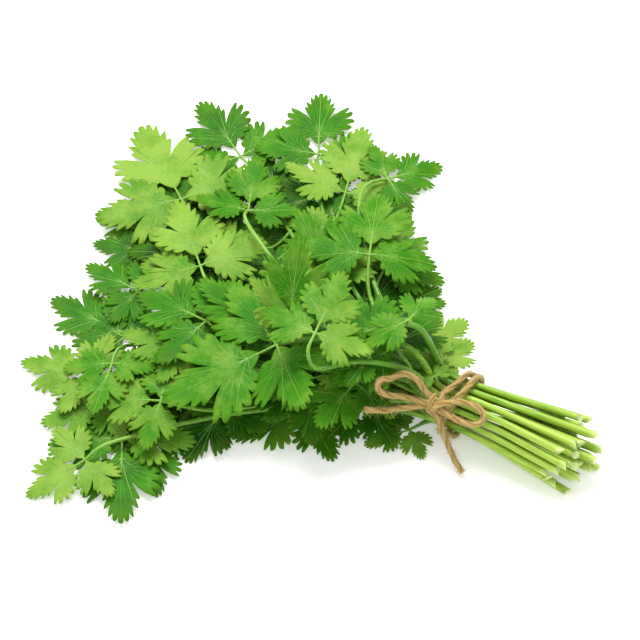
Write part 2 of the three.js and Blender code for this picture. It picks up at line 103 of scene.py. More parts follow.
# %% The plan's numbers, in millimetres
STEM_ROWS = (4, 5, 6, 7, 6, 5, 4)
STEM_PITCH = 3.8
ROW_RISE = STEM_PITCH * math.sqrt(3) / 2
BOTTOM_ROW_HEIGHT = 4.23
STEM_RADIUS = {"cut": 1.75, "tie": 1.5, "stalk": 1.15, "node": 0.9}
TIE_HALF_WIDTH = 8
CUT_END_X, CUT_END_CURVE, CUT_END_JITTER = 64, 12, 10
CUT_HALF_WIDTH = 17
CUT_BOTTOM_HEIGHT, CUT_ROW_RISE = 1.6, 3.75
CUT_ROW_SPREAD = (2.6, 2.1, 1.75, 1.5, 1.6, 1.8, 2)
CUT_SIDE_JITTER = 0.9
FAN_STATIONS = (0.2, 0.5, 0.8)
LEAVING_BEND, ARRIVING_BEND = 0.33, 0.14

# A leaf's measures are for a size of 1, and its yaws and leans are in degrees.
TERMINAL_STALK = 0.34
PETIOLULE = 0.16
LATERAL_SIZE, LATERAL_YAW = 0.86, 84
SECOND_PAIR_BACK, SECOND_PAIR_SIZE, SECOND_PAIR_YAW = 0.95, 0.62, 75
STALK_START = {3: 0.35, 5: SECOND_PAIR_BACK + 0.25}
END_YAW_JITTER, SIDE_YAW_JITTER, LEAN_JITTER = 4, 7, 7
DROOP, FOLD, TWIST = (0.07, 0.06), (0.07, 0.11), (0, 0.1)  # the middle, and what a draw adds
WAVE, WAVES_ROUND, WAVE_MIDDLE = 0.05, 3, 0.2
CAD_BLADE = 0.7

# For each stem: fan and turn in degrees, with reach before and size after the turn in millimetres,
# then how many leaflets, and the tone: how yellow the leaf is, from 0 to 1.
FAN, LEAFLET_COUNT, TONE = 0, 4, 5  # where they stand in that list
SPRIGS = (
    (-38, 21, -12, 15, 3, 0.75), (-21, 63, -31, 26, 3, 0.5), (-17, 38, -38, 21, 3, 0.35),
    (41, 70, 120, 18, 3, 0.5),
    (-30, 130, -90, 21, 3, 0.45), (-24, 99, -60, 21, 3, 0.2), (-8, 156, 15, 24, 3, 0.35),
    (12, 168, -25, 21, 3, 0.6), (43, 84, 42, 26, 3, 0.55),
    (-30, 142, -84, 30, 3, 0.5), (-23, 150, -27, 21, 3, 0.7), (-18, 159, 12, 23, 3, 0.85),
    (0, 154, 1, 20, 3, 0.35), (31, 174, 2, 28, 3, 0.45), (42, 158, 27, 28, 3, 0.5),
    (-34, 158, -25, 21, 3, 0.85), (-26, 125, 12, 22, 3, 0.7), (-17, 149, -83, 21, 3, 0.5),
    (10, 143, -23, 21, 3, 0.1), (18, 168, 26, 38, 5, 0.85), (43, 131, 31, 29, 5, 0.75),
    (52, 133, 82, 20, 3, 0.5),
    (-27, 62, -2, 21, 3, 0.15), (-13, 119, 3, 21, 3, 0.5), (7, 132, 41, 30, 3, 0.85),
    (24, 141, 49, 23, 3, 0.5), (27, 89, 12, 25, 3, 0.65), (38, 84, 30, 30, 3, 0.5),
    (-20, 57, -20, 21, 3, 0.5), (-22, 44, -62, 21, 3, 0.4), (-7, 113, 13, 28, 3, 0.35),
    (-3, 91, 14, 25, 3, 0.55), (40, 34, 72, 20, 3, 0.95),
    (-3, 30, 30, 29, 3, 0.35), (-12, 79, -41, 39, 3, 0.5), (-2, 78, 76, 27, 3, 0.7),
    (-18, 61, 102, 24, 3, 0.65),
)
print("stems planned:", len(SPRIGS))

# %% Draws that look random and repeat
# Which draw decides what. A leaflet has ten draws of its own, from 10 times its number on.
DRAWS = {"droop": 1, "fold": 2, "twist": 3, "phase": 4, "lean": 5, "ruffle": 5, "yaw": 7, "tone": 8}
CUT_SIDE_DRAW, CUT_LENGTH_DRAW, CUT_TILT_DRAW, STEM_TONE_DRAW = 91, 92, 93, 94


def draw(i, k):
    """Draw number k, between -1 and 1, for stem or small leaf i."""
    s = math.sin(i * 12.9898 + k * 78.233) * 43758.5453
    return 2 * (s - math.floor(s)) - 1


def leaflet_draw(i, j, what):
    """The same for one trait of leaflet j on stem i."""
    return draw(i, 10 * j + DRAWS[what])


print("draws for the leaflets of stem 1:",
      [round(leaflet_draw(0, j, "yaw"), 2) for j in range(SPRIGS[0][LEAFLET_COUNT])])

# %% The rows under the twine
def stem_slots():
    """The row, the place across it and the height of each stem, from the lowest row up."""
    slots, first = {}, 0
    for row, count in enumerate(STEM_ROWS):
        members = sorted(range(first, first + count), key=lambda i: SPRIGS[i][FAN])
        for column, i in enumerate(members):
            side = (column - (count - 1) / 2) * STEM_PITCH
            slots[i] = row, side, BOTTOM_ROW_HEIGHT + row * ROW_RISE
        first += count
    return slots


def tied_stretch(i):
    """The straight stretch from the cut end to the leaf side of the tie: points and radii."""
    row, y, z = SLOTS[i]
    end_y = y * CUT_ROW_SPREAD[row] + CUT_SIDE_JITTER * draw(i, CUT_SIDE_DRAW)
    end_z = CUT_BOTTOM_HEIGHT + row * CUT_ROW_RISE
    shorter = CUT_END_CURVE * (end_y / CUT_HALF_WIDTH) ** 2
    shorter += CUT_END_JITTER * (0.5 + 0.5 * draw(i, CUT_LENGTH_DRAW))
    end_x = CUT_END_X - shorter
    part = (end_x - TIE_HALF_WIDTH) / (CUT_END_X - TIE_HALF_WIDTH)
    end = Vector((end_x, y + part * (end_y - y), z + part * (end_z - z)))
    return [
        (end, STEM_RADIUS["cut"]),
        (Vector((TIE_HALF_WIDTH, y, z)), STEM_RADIUS["tie"]),
        (Vector((-TIE_HALF_WIDTH, y, z)), STEM_RADIUS["tie"]),
    ]


SLOTS = stem_slots()
print("stems in rows:", STEM_ROWS, "total", len(SLOTS))

# %% The curve from the tie to each leaf, seen from above
def fan_direction(degrees):
    """The way a stem fans out: 0 is straight on from the tie, away from the cut ends."""
    return Vector((-math.cos(math.radians(degrees)), math.sin(math.radians(degrees)), 0))


def on_bezier(ends_and_handles, t):
    """The point of a cubic curve that is a share t of the way along it."""
    weights = (1 - t) ** 3, 3 * t * (1 - t) ** 2, 3 * t * t * (1 - t), t ** 3
    return sum((w * p for w, p in zip(weights, ends_and_handles)), 0 * ends_and_handles[0])


def plan_of(i):
    """The rest of the stem, as points with no height: three on the curve, then the leaf's stalk."""
    fan, reach, turn, size, leaflets, _ = SPRIGS[i]
    heading = fan_direction(fan + turn)
    node = fan_direction(fan) * reach
    arrival = node - STALK_START[leaflets] * size * heading
    tie = tied_stretch(i)[2][0].copy()
    tie.z = 0
    span = (arrival - tie).length
    leaving = tie - Vector((LEAVING_BEND * span, 0, 0))
    arriving = arrival - ARRIVING_BEND * span * heading
    points = []
    for t in FAN_STATIONS:
        radius = STEM_RADIUS["tie"] + t * (STEM_RADIUS["stalk"] - STEM_RADIUS["tie"])
        points.append((on_bezier((tie, leaving, arriving, arrival), t), radius))
    return points + [(arrival, STEM_RADIUS["stalk"]), (node, STEM_RADIUS["node"])]


print("stem 1 ends at", [round(c) for c in plan_of(0)[-1][0].xy], "mm")

# %% The leaflets of each leaf
def leaflets_of(i):
    """Each leaflet: its place on the stalk, turn, size, length of its own stalk, and its form."""
    fan, _, turn, size, count, _ = SPRIGS[i]
    stand = PETIOLULE * size
    spots = [(0, 0, size, TERMINAL_STALK * size)]
    spots += [(0, side * LATERAL_YAW, LATERAL_SIZE * size, stand) for side in (1, -1)]
    if count == 5:
        spots += [(SECOND_PAIR_BACK * size, side * SECOND_PAIR_YAW, SECOND_PAIR_SIZE * size, stand)
                  for side in (1, -1)]
    heading = fan_direction(fan + turn)
    facing = math.atan2(heading.y, heading.x)
    found = []
    for j, (behind, yaw, length, stand) in enumerate(spots):
        yaw_jitter = (SIDE_YAW_JITTER if j else END_YAW_JITTER) * leaflet_draw(i, j, "yaw")
        found.append({
            "back": behind,
            "yaw": facing + math.radians(yaw + yaw_jitter),
            "size": length,
            "stand": stand,
            "droop": DROOP[0] + DROOP[1] * leaflet_draw(i, j, "droop"),
            "fold": FOLD[0] + FOLD[1] * leaflet_draw(i, j, "fold"),
            "twist": TWIST[0] + TWIST[1] * leaflet_draw(i, j, "twist"),
            "wave": WAVE,
            "phase": math.pi * leaflet_draw(i, j, "phase"),
            "lean": math.radians(LEAN_JITTER * leaflet_draw(i, j, "lean")),
        })
    return found


def relief(x, y, form):
    """The height of a leaflet's surface over its own plane, for a length of 1."""
    angle = math.atan2(y, x + WAVE_MIDDLE)
    wave = form["wave"] * math.sin(WAVES_ROUND * angle + form["phase"]) * (x * x + y * y)
    return form["twist"] * x * y - form["droop"] * x * x - form["fold"] * y * y + wave


print("leaflets:", sum(sprig[LEAFLET_COUNT] for sprig in SPRIGS))

# %% [markdown]
# ## Measuring how the bunch came to rest
# Each CAD node is a closed solid, so a line dropped straight down through it goes in and out in
# pairs. The middle of such a pair is the height of the stem there. A leaflet needs more than its
# height, because it nods and leans: its corners are worked out for many poses, and the pose
# whose corners come closest to the corners of the CAD solid is the one that it has.

# %% Corners and spans of a CAD node
RAY_TOP = 200
DOWN = Vector((0, 0, -1))
SAME_FACE, PAST_FACE = 0.01, 0.002
BESIDE_EDGES = 0.013, 0.017


def solid_of(name):
    """A node's faces, for lines to be sent at, and its corners, to find the nearest of."""
    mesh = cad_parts[name].data
    points = [v.co / MM for v in mesh.vertices]
    tree = BVHTree.FromPolygons(points, [p.vertices[:] for p in mesh.polygons])
    corners = KDTree(len(points))
    for n, p in enumerate(points):
        corners.insert(p, n)
    corners.balance()
    return tree, corners


def spans(tree, x, y):
    """The heights between which an upright line is inside the solid, from the top down."""
    crossings, height = [], RAY_TOP
    while True:
        hit = tree.ray_cast(Vector((x, y, height)), DOWN)[0]
        if hit is None:
            break
        if not crossings or crossings[-1] - hit.z > SAME_FACE:
            crossings.append(hit.z)
        height = hit.z - PAST_FACE
    return list(zip(crossings[1::2], crossings[::2]))


def height_at(tree, x, y, thickness, near):
    """The middle of what the line passes through there, of those at least that thick."""
    found = spans(tree, x + BESIDE_EDGES[0], y + BESIDE_EDGES[1])
    thick = [(low, high) for low, high in found if high - low > thickness] or found
    middles = [(low + high) / 2 for low, high in thick]
    return min(middles, key=lambda z: abs(z - near), default=near)


faces, _ = solid_of("sprig_01")
print("stem 1 under the twine lies between",
      [(round(low, 2), round(high, 2)) for low, high in spans(faces, 0, SLOTS[0][1])], "mm")

# %% The pose of one leaflet
NODS, LEANS = range(-75, 11, 2), (-24, -12, 0, 12, 24)
FINER_STEPS, FINER_TRIES = (2, 0.5, 0.12), range(-3, 4)
NOD_STEP, LIFT_STEP = 0.5, 0.3
FARTHEST_CORNER = 2
CAD_OUTLINE = ((0.27, 0.4), (0.4, 0.33), (0.58, 0.52), (0.58, 0.33), (0.75, 0.35), (0.5, 0.12),
               (0.86, 0.25), (0.85, 0.11))


def misfit(corners, leaflet, base, nod, lean, lift):
    """How far the leaflet's corners lie from the node's in that pose, with a limit for each."""
    turned = Euler((lean + leaflet["lean"], nod, leaflet["yaw"])).to_matrix()
    total = 0
    for x, y, z in leaflet["corners"]:
        spot = base + turned @ Vector((x, y, z))
        spot.z += lift
        total += min(corners.find(spot)[2], FARTHEST_CORNER)
    return total


def pose_of(corners, leaflet, base):
    """The nod, lean and lift that fit best, in radians and millimetres, and the mean misfit."""
    size, stand = leaflet["size"], leaflet["stand"]
    outline = [(1, 0)] + [(x, side * y) for x, y in CAD_OUTLINE for side in (1, -1)]
    leaflet["corners"] = [
        (stand + x * size, y * size, size * relief(x, y, leaflet) + CAD_BLADE / 2)
        for x, y in outline]
    tries = [(math.radians(nod), math.radians(lean), 0) for nod in NODS for lean in LEANS]
    for step in FINER_STEPS:
        best = min(tries, key=lambda t: misfit(corners, leaflet, base, *t))
        nod, lean, lift = best
        tries = [(nod + math.radians(NOD_STEP * step * a), lean, lift + LIFT_STEP * step * b)
                 for a in FINER_TRIES for b in FINER_TRIES]
    return best, misfit(corners, leaflet, base, *best) / len(leaflet["corners"])


print("poses tried first for each leaflet:", len(NODS) * len(LEANS))

# %% Read every stem and leaf off its node
THROUGH_STEM = 1.5  # the least a line must pass through, in stem radii


def settled(i):
    """The stem's stations with their heights, its leaflets with poses, and the worst misfit."""
    tree, corners = solid_of(f"sprig_{i + 1:02d}")
    stations = tied_stretch(i)
    near = stations[-1][0].z
    for point, radius in plan_of(i):
        near = height_at(tree, point.x, point.y, THROUGH_STEM * radius, near)
        stations.append((Vector((point.x, point.y, near)), radius))
    start, node = stations[-2][0], stations[-1][0]
    reach = math.hypot(start.x - node.x, start.y - node.y)
    leaflets, worst = leaflets_of(i), 0
    for leaflet in leaflets:
        base = node.lerp(start, leaflet["back"] / reach)
        (nod, lean, lift), error = pose_of(corners, leaflet, base)
        leaflet["turn"] = (lean + leaflet["lean"], nod, leaflet["yaw"])
        leaflet["base"] = base + Vector((0, 0, lift))
        worst = max(worst, error)
    return {"stations": stations, "leaflets": leaflets, "error": worst}


bunch = [settled(i) for i in range(len(SPRIGS))]
print("worst mean distance of a leaflet's corners from the node's:",
      round(max(sprig["error"] for sprig in bunch), 2), "mm")

# %% The stalks meet the leaflets where the leaflets say
for sprig in bunch:
    _, middle, _ = sorted(leaflet["base"].z for leaflet in sprig["leaflets"][:3])
    sprig["stations"][-1][0].z = middle
stalk_ends = [sprig["stations"][-1][0].z for sprig in bunch]
print("stalk ends lie", round(min(stalk_ends), 1), "to", round(max(stalk_ends), 1), "mm up")

# %% [markdown]
# ## Helpers for node trees
# Node trees are long to write out, so one small function adds a node, sets it and links it. A
# second one gives a Geometry Nodes tree its named inputs. A third runs a tree on an object and
# keeps the result as a plain mesh, because an exported model can't hold live instances. The last
# one is for leaves, stems and fibres alike: what would come out below the table lies pressed flat
# on it.

# %% Adding nodes and running trees
def add(tree, kind, links=None, **settings):
    """Adds a node. links maps an input to a value, or to the output that feeds it."""
    made = tree.nodes.new(kind)
    for name, value in settings.items():
        setattr(made, name, value)
    for key, value in (links or {}).items():
        if isinstance(value, bpy.types.NodeSocket):
            tree.links.new(value, made.inputs[key])
        else:
            made.inputs[key].default_value = value
    return made


def new_tree(name, **inputs):
    tree = bpy.data.node_groups.new(name, "GeometryNodeTree")
    tree.interface.new_socket("Geometry", in_out="INPUT", socket_type="NodeSocketGeometry")
    tree.interface.new_socket("Geometry", in_out="OUTPUT", socket_type="NodeSocketGeometry")
    for title, kind in inputs.items():
        tree.interface.new_socket(title, in_out="INPUT", socket_type="NodeSocket" + kind)
    return tree


def run_tree(tree, mesh, name, **values):
    """Runs a tree on a mesh and returns a new object at the origin with the result as its mesh."""
    source = bpy.data.objects.new(name + "_plan", mesh)
    bpy.context.collection.objects.link(source)
    modifier = source.modifiers.new("tree", "NODES")
    modifier.node_group = tree
    for socket in tree.interface.items_tree:
        if socket.in_out == "INPUT" and socket.name in values:
            modifier[socket.identifier] = values[socket.name]
    bpy.context.view_layer.update()
    graph = bpy.context.evaluated_depsgraph_get()
    result = bpy.data.meshes.new_from_object(
        source.evaluated_get(graph), preserve_all_data_layers=True, depsgraph=graph)
    result.name = name
    bpy.data.objects.remove(source)
    piece = bpy.data.objects.new(name, result)
    bpy.context.collection.objects.link(piece)
    return piece


def stored(mesh, name, kind, values):
    """Keeps one value a point on a mesh, for a tree or a material to read."""
    layer = mesh.attributes.new(name, kind, "POINT")
    flat = [c for value in values for c in value] if kind == "FLOAT_VECTOR" else list(values)
    layer.data.foreach_set("vector" if kind == "FLOAT_VECTOR" else "value", flat)


def linear(colour):
    """An sRGB hex colour as the linear values that Blender works in."""
    parts = [int(colour[n:n + 2], 16) / 255 for n in (1, 3, 5)]
    return (*(c / 12.92 if c < 0.04045 else ((c + 0.055) / 1.055) ** 2.4 for c in parts), 1)


def pressed_flat(tree, position, lowest):
    """Adds nodes that lift a position to the lowest height it may have over the table."""
    part = add(tree, "ShaderNodeSeparateXYZ", {0: position}).outputs
    rested = add(tree, "ShaderNodeMath", {0: part[2], 1: lowest}, operation="MAXIMUM").outputs[0]
    return add(tree, "ShaderNodeCombineXYZ", {0: part[0], 1: part[1], 2: rested}).outputs[0]


print("helpers ready; #808080 in linear values:", [round(c, 3) for c in linear("#808080")])

# %% [markdown]
# ## The leaf's finish
# A coriander leaf is thin, soft and slightly waxy. Its upper side is a clear green, yellower in
# young leaves and darker in old ones, with fine pale veins that run out to every tooth. Its
# underside is paler and duller. It also lets some light through. So the material mixes a glossy
# shader with a translucent one, and reads its tone, its veins and its side from values that the
# leaf's mesh carries.

# %% The leaf's green
BLOTCH, MOTTLE = 12 * MM, 1.5 * MM
DEEP_GREEN, MIDDLE_GREEN, BRIGHT_GREEN = "#0A4A06", "#348306", "#90B646"

leaf_green = bpy.data.materials.new("waxy_coriander_leaf")
leaf_green.use_nodes = True
tree = leaf_green.node_tree
tree.nodes.clear()
place = add(tree, "ShaderNodeTexCoord").outputs["Object"]
tone = add(tree, "ShaderNodeAttribute", attribute_name="tone").outputs["Fac"]

# Blotches and a fine mottling shift the tone a little, and the tone picks the green.
blotch = add(tree, "ShaderNodeTexNoise", {"Vector": place, "Scale": 1 / BLOTCH, "Detail": 3})
mottle = add(tree, "ShaderNodeTexNoise", {"Vector": place, "Scale": 1 / MOTTLE, "Detail": 2})
mottle = mottle.outputs["Fac"]
patches = add(tree, "ShaderNodeMapRange",
              {0: blotch.outputs["Fac"], 1: 0.3, 2: 0.7, 3: -0.2, 4: 0.2})
toned = add(tree, "ShaderNodeMath", {0: tone, 1: patches.outputs[0]}, operation="ADD")
grain = add(tree, "ShaderNodeMapRange", {0: mottle, 1: 0.3, 2: 0.7, 3: -0.05, 4: 0.05})
toned = add(tree, "ShaderNodeMath", {0: toned.outputs[0], 1: grain.outputs[0]}, operation="ADD")
ramp = add(tree, "ShaderNodeValToRGB", {0: toned.outputs[0]})
ramp.color_ramp.elements[0].color = linear(DEEP_GREEN)
ramp.color_ramp.elements[1].color = linear(BRIGHT_GREEN)
ramp.color_ramp.elements.new(0.5).color = linear(MIDDLE_GREEN)
print("leaf material:", len(tree.nodes), "nodes for the green")

# %% Veins, margin and underside
VEIN_GREEN, MARGIN_GREEN, UNDER_GREEN = "#9CC656", "#8DBB30", "#94BE62"

# A vein runs at every whole number, from the middle of the blade, 0, out to a tooth, 1.
vein = add(tree, "ShaderNodeAttribute", attribute_name="vein").outputs["Vector"]
number, outwards, side = add(tree, "ShaderNodeSeparateXYZ", {0: vein}).outputs
half = add(tree, "ShaderNodeMath", {0: number, 1: 0.5}, operation="ADD")
part = add(tree, "ShaderNodeMath", {0: half.outputs[0]}, operation="FRACT")
off = add(tree, "ShaderNodeMath", {0: part.outputs[0], 1: 0.5}, operation="SUBTRACT")
off = add(tree, "ShaderNodeMath", {0: off.outputs[0]}, operation="ABSOLUTE")
wide = add(tree, "ShaderNodeMath", {0: off.outputs[0], 1: outwards}, operation="MULTIPLY")
line = add(tree, "ShaderNodeMapRange", {0: wide.outputs[0], 1: 0.02, 2: 0.09, 3: 1, 4: 0})
fade = add(tree, "ShaderNodeMapRange", {0: outwards, 1: 0.35, 2: 0.95, 3: 0.2, 4: 0})
line = add(tree, "ShaderNodeMath", {0: line.outputs[0], 1: fade.outputs[0]},
           operation="MULTIPLY").outputs[0]
veined = add(tree, "ShaderNodeMix", {0: line, 6: ramp.outputs[0], 7: linear(VEIN_GREEN)},
             data_type="RGBA")

# Towards the margin the blade is a little yellower, and the underside paler.
margin = add(tree, "ShaderNodeMapRange", {0: outwards, 1: 0.5, 2: 1, 3: 0, 4: 0.22})
edged = add(tree, "ShaderNodeMix",
            {0: margin.outputs[0], 6: veined.outputs[2], 7: linear(MARGIN_GREEN)},
            data_type="RGBA").outputs[2]
under = add(tree, "ShaderNodeMapRange", {0: side, 1: 0, 2: -0.3, 3: 0, 4: 0.55})
sided = add(tree, "ShaderNodeMix", {0: under.outputs[0], 6: edged, 7: linear(UNDER_GREEN)},
            data_type="RGBA").outputs[2]
print("with veins, margin and underside:", len(tree.nodes), "nodes")

# %% The leaf's surface
LIGHT_THROUGH_LEAF = 0.22

# The veins lie a little below the mottled surface.
sunken = add(tree, "ShaderNodeMath", {0: line, 1: -1.5, 2: mottle}, operation="MULTIPLY_ADD")
bump = add(tree, "ShaderNodeBump",
           {"Strength": 0.35, "Distance": 0.15 * MM, "Height": sunken.outputs[0]}).outputs[0]
skin = add(tree, "ShaderNodeBsdfPrincipled", {
    "Base Color": sided, "Roughness": 0.5, "Specular IOR Level": 0.1, "Normal": bump})
glow = add(tree, "ShaderNodeBsdfTranslucent", {"Color": edged, "Normal": bump})
both = add(tree, "ShaderNodeMixShader",
           {0: LIGHT_THROUGH_LEAF, 1: skin.outputs[0], 2: glow.outputs[0]})
add(tree, "ShaderNodeOutputMaterial", {0: both.outputs[0]})
print("and with the surface:", len(tree.nodes), "nodes")

# %% [markdown]
# ## The stem's finish
# The stems are juicy and almost translucent, pale yellow-green near the cut ends and greener
# towards the leaves, with fine ridges along them. A little past the tie they are darkest, which is
# painted shade for the leaves that lie over them. The fresh cuts are paler still.

# %% Stem material
STREAK_WIDTH, STREAK_STRETCH = 1.1 * MM, 0.08  # about 1 mm wide and 12 times as long
# The dark green at 0.45 is painted shade, for the leaves that lie over the stems past the tie.
STEM_GREENS_AND_SHADE = ((0.3, "#84AE22"), (0.45, "#558E20"), (0.75, "#5C9426"))
CUT_END_GREEN, LEAF_END_GREEN, FRESH_CUT_GREEN = "#A9C648", "#7DAE40", "#C9DB8A"

stem_green = bpy.data.materials.new("juicy_ridged_stem")
stem_green.use_nodes = True
tree = stem_green.node_tree
tree.nodes.clear()
along = add(tree, "ShaderNodeAttribute", attribute_name="along").outputs["Fac"]
fresh = add(tree, "ShaderNodeAttribute", attribute_name="fresh").outputs["Fac"]
place = add(tree, "ShaderNodeTexCoord").outputs["Object"]
streaked = add(tree, "ShaderNodeMapping", {"Vector": place, "Scale": (STREAK_STRETCH, 1, 1)})
streak = add(tree, "ShaderNodeTexNoise", {
    "Vector": streaked.outputs[0], "Scale": 1 / STREAK_WIDTH, "Detail": 2}).outputs["Fac"]
spread = add(tree, "ShaderNodeMapRange", {0: streak, 1: 0.3, 2: 0.7, 3: -0.16, 4: 0.16})
green = add(tree, "ShaderNodeMath", {0: along, 1: spread.outputs[0]}, operation="ADD")
ramp = add(tree, "ShaderNodeValToRGB", {0: green.outputs[0]})
ramp.color_ramp.elements[0].color = linear(CUT_END_GREEN)
ramp.color_ramp.elements[1].color = linear(LEAF_END_GREEN)
for at, colour in STEM_GREENS_AND_SHADE:
    ramp.color_ramp.elements.new(at).color = linear(colour)
pale = add(tree, "ShaderNodeMix", {0: fresh, 6: ramp.outputs[0], 7: linear(FRESH_CUT_GREEN)},
           data_type="RGBA")
bump = add(tree, "ShaderNodeBump", {"Strength": 0.3, "Distance": 0.15 * MM, "Height": streak})
flesh = add(tree, "ShaderNodeBsdfPrincipled", {
    "Base Color": pale.outputs[2], "Roughness": 0.34, "IOR": 1.4, "Normal": bump.outputs[0],
    "Subsurface Weight": 0.25, "Subsurface Radius": (0.6, 1.0, 0.25), "Subsurface Scale": 1.2 * MM})
add(tree, "ShaderNodeOutputMaterial", {0: flesh.outputs[0]})
print("stem material:", len(tree.nodes), "nodes")

# %% [markdown]
# ## One fine leaflet
# Every leaflet is a fan with three lobes, and each lobe ends in rounded teeth. The outline is drawn
# once, flat and for a length of 1: notch, tooth, notch, tooth, from the neck to the tip, with a
# curve that leaves each notch along the tooth and rounds its top. Rings between that outline and
# the middle of the blade give the faces, and the two sheets are closed along the rim.

# %% The outline: pairs of notch and tooth, from the neck to the tip
TEETH = (
    ((0.02, 0.14), (0, 0.28)), ((0.08, 0.28), (0.09, 0.42)), ((0.17, 0.34), (0.22, 0.52)),
    ((0.3, 0.45), (0.38, 0.58)), ((0.4, 0.41), (0.54, 0.55)), ((0.53, 0.42), (0.66, 0.45)),
    ((0.38, 0.13), (0.62, 0.27)), ((0.66, 0.2), (0.79, 0.28)), ((0.75, 0.15), (0.92, 0.2)),
    ((0.88, 0.11), (1, 0.1)), ((0.94, 0.04), (1.04, 0)),
)
NECK_POINTS = ((-0.12, 0.03), (-0.06, 0.09))
TOOTH_STEPS = (0, 0.4, 0.75)
NOTCH_HANDLE, TOOTH_HANDLE = 0.55, 0.45
NECK_VEIN_STEP = 0.4
MIDDLE = Vector((0.14, 0))
LEAST_TURN = math.radians(0.4)


def tooth_edge(notch, tooth, other):
    """Points from the notch to just before the top of the tooth, each with its share of the way."""
    axis = tooth - (notch + other) / 2
    across = (notch - other).normalized()
    reach = (tooth - notch).length
    curve = notch, notch + NOTCH_HANDLE * axis, tooth + TOOTH_HANDLE * reach * across, tooth
    return [(t, on_bezier(curve, t)) for t in TOOTH_STEPS]


def half_outline():
    """The left half: x, y and the vein number, which is whole at the top of each tooth."""
    count = len(TEETH)
    points = [(Vector(p), count - 0.5 + NECK_VEIN_STEP * (1 - n))
              for n, p in enumerate(NECK_POINTS)]
    for n, (notch, tooth) in enumerate(TEETH):
        notch, tooth, number = Vector(notch), Vector(tooth), count - 1 - n
        other = Vector(TEETH[n + 1][0]) if number else Vector((notch.x, -notch.y))
        points += [(p, number + 0.5 - 0.5 * t) for t, p in tooth_edge(notch, tooth, other)]
        points.append((tooth, number))
        if number:
            falling = reversed(tooth_edge(other, tooth, notch)[1:])
            points += [(p, number - 0.5 + 0.5 * t) for t, p in falling]
    return points


def opened(points):
    """Swings points on that fall behind the last, seen from the middle, so that no face folds."""
    fixed, limit = [], math.pi
    for p, number in points:
        arm = p - MIDDLE
        angle = max(0, min(math.atan2(arm.y, arm.x), limit))
        fixed.append((MIDDLE + arm.length * Vector((math.cos(angle), math.sin(angle))), number))
        limit = angle - LEAST_TURN
    return fixed


left = opened(half_outline())
outline = left + [(Vector((p.x, -p.y)), -number) for p, number in reversed(left[:-1])]
print("outline points:", len(outline))

# %% The leaflet's mesh
RINGS = (0.3, 0.6, 0.86, 1)
RIM_SIDE = 0.5


def leaflet_mesh():
    """Two sheets of rings, and the rim between. In "flat", the third number is the side."""
    count, flat, veins, faces = len(outline), [], [], []
    for side in (1, -1):
        start = len(flat)
        flat.append((*MIDDLE, side))
        veins.append((0, 0, side))
        for ring in RINGS:
            edge = RIM_SIDE if ring == 1 else 1
            for p, number in outline:
                spot = MIDDLE.lerp(p, ring)
                flat.append((*spot, side * edge))
                veins.append((number, ring, side))
        for k in range(count):
            after = (k + 1) % count
            fan = [start, start + 1 + after, start + 1 + k]
            faces.append(fan if side == 1 else fan[::-1])
            for ring in range(len(RINGS) - 1):
                low = start + 1 + ring * count
                quad = [low + k, low + after, low + count + after, low + count + k]
                faces.append(quad if side == 1 else quad[::-1])
    top = 1 + (len(RINGS) - 1) * count
    under = top + 1 + len(RINGS) * count
    for k in range(count):
        after = (k + 1) % count
        faces.append([top + k, top + after, under + after, under + k])
    mesh = bpy.data.meshes.new("leaflet")
    mesh.from_pydata([(x, y, 0) for x, y, _ in flat], [], faces)
    stored(mesh, "flat", "FLOAT_VECTOR", flat)
    stored(mesh, "vein", "FLOAT_VECTOR", veins)
    mesh.shade_smooth()
    return mesh


leaflet_object = bpy.data.objects.new("leaflet", leaflet_mesh())
print("leaflet faces:", len(leaflet_object.data.polygons))

# %% [markdown]
# ## From one leaflet to a leaf
# A Geometry Nodes tree puts a copy of the flat leaflet at each point of a small plan, one point a
# leaflet. The copies are made real, and then each one is bent: the tree works out the height of the
# surface from the same droop, fold, twist and wave as in the CAD model, and turns the leaflet to
# the pose that was measured. A finer ruffle is added, which the CAD leaf is too coarse for.

# %% The leaf tree: real copies, and the values they carry
leaf_tree = new_tree("compound_leaf", Leaflet="Object", Thickness="Float", Ruffle="Float",
                     Material="Material")
given = add(leaf_tree, "NodeGroupInput").outputs
shape = add(leaf_tree, "GeometryNodeObjectInfo", {"Object": given["Leaflet"]}).outputs["Geometry"]
copies = add(leaf_tree, "GeometryNodeInstanceOnPoints",
             {"Points": given["Geometry"], "Instance": shape})
real = add(leaf_tree, "GeometryNodeRealizeInstances", {0: copies.outputs[0]})
read = {}
for name in ("flat", "base", "turn", "form", "edge", "span"):
    read[name] = add(leaf_tree, "GeometryNodeInputNamedAttribute", {"Name": name},
                     data_type="FLOAT_VECTOR").outputs["Attribute"]
flat = add(leaf_tree, "ShaderNodeSeparateXYZ", {0: read["flat"]}).outputs
edge = add(leaf_tree, "ShaderNodeSeparateXYZ", {0: read["edge"]}).outputs
span = add(leaf_tree, "ShaderNodeSeparateXYZ", {0: read["span"]}).outputs
print("leaf tree:", len(leaf_tree.nodes), "nodes to read its values")

# %% The leaf tree: the height of the surface
RUFFLES_ROUND = 7

# x times y, x squared and y squared, against twist, droop and fold.
pair = add(leaf_tree, "ShaderNodeMath", {0: flat[0], 1: flat[1]}, operation="MULTIPLY").outputs[0]
xx = add(leaf_tree, "ShaderNodeMath", {0: flat[0], 1: flat[0]}, operation="MULTIPLY").outputs[0]
yy = add(leaf_tree, "ShaderNodeMath", {0: flat[1], 1: flat[1]}, operation="MULTIPLY").outputs[0]
terms = add(leaf_tree, "ShaderNodeCombineXYZ", {0: pair, 1: xx, 2: yy})
bent = add(leaf_tree, "ShaderNodeVectorMath", {0: read["form"], 1: terms.outputs[0]},
           operation="DOT_PRODUCT").outputs["Value"]

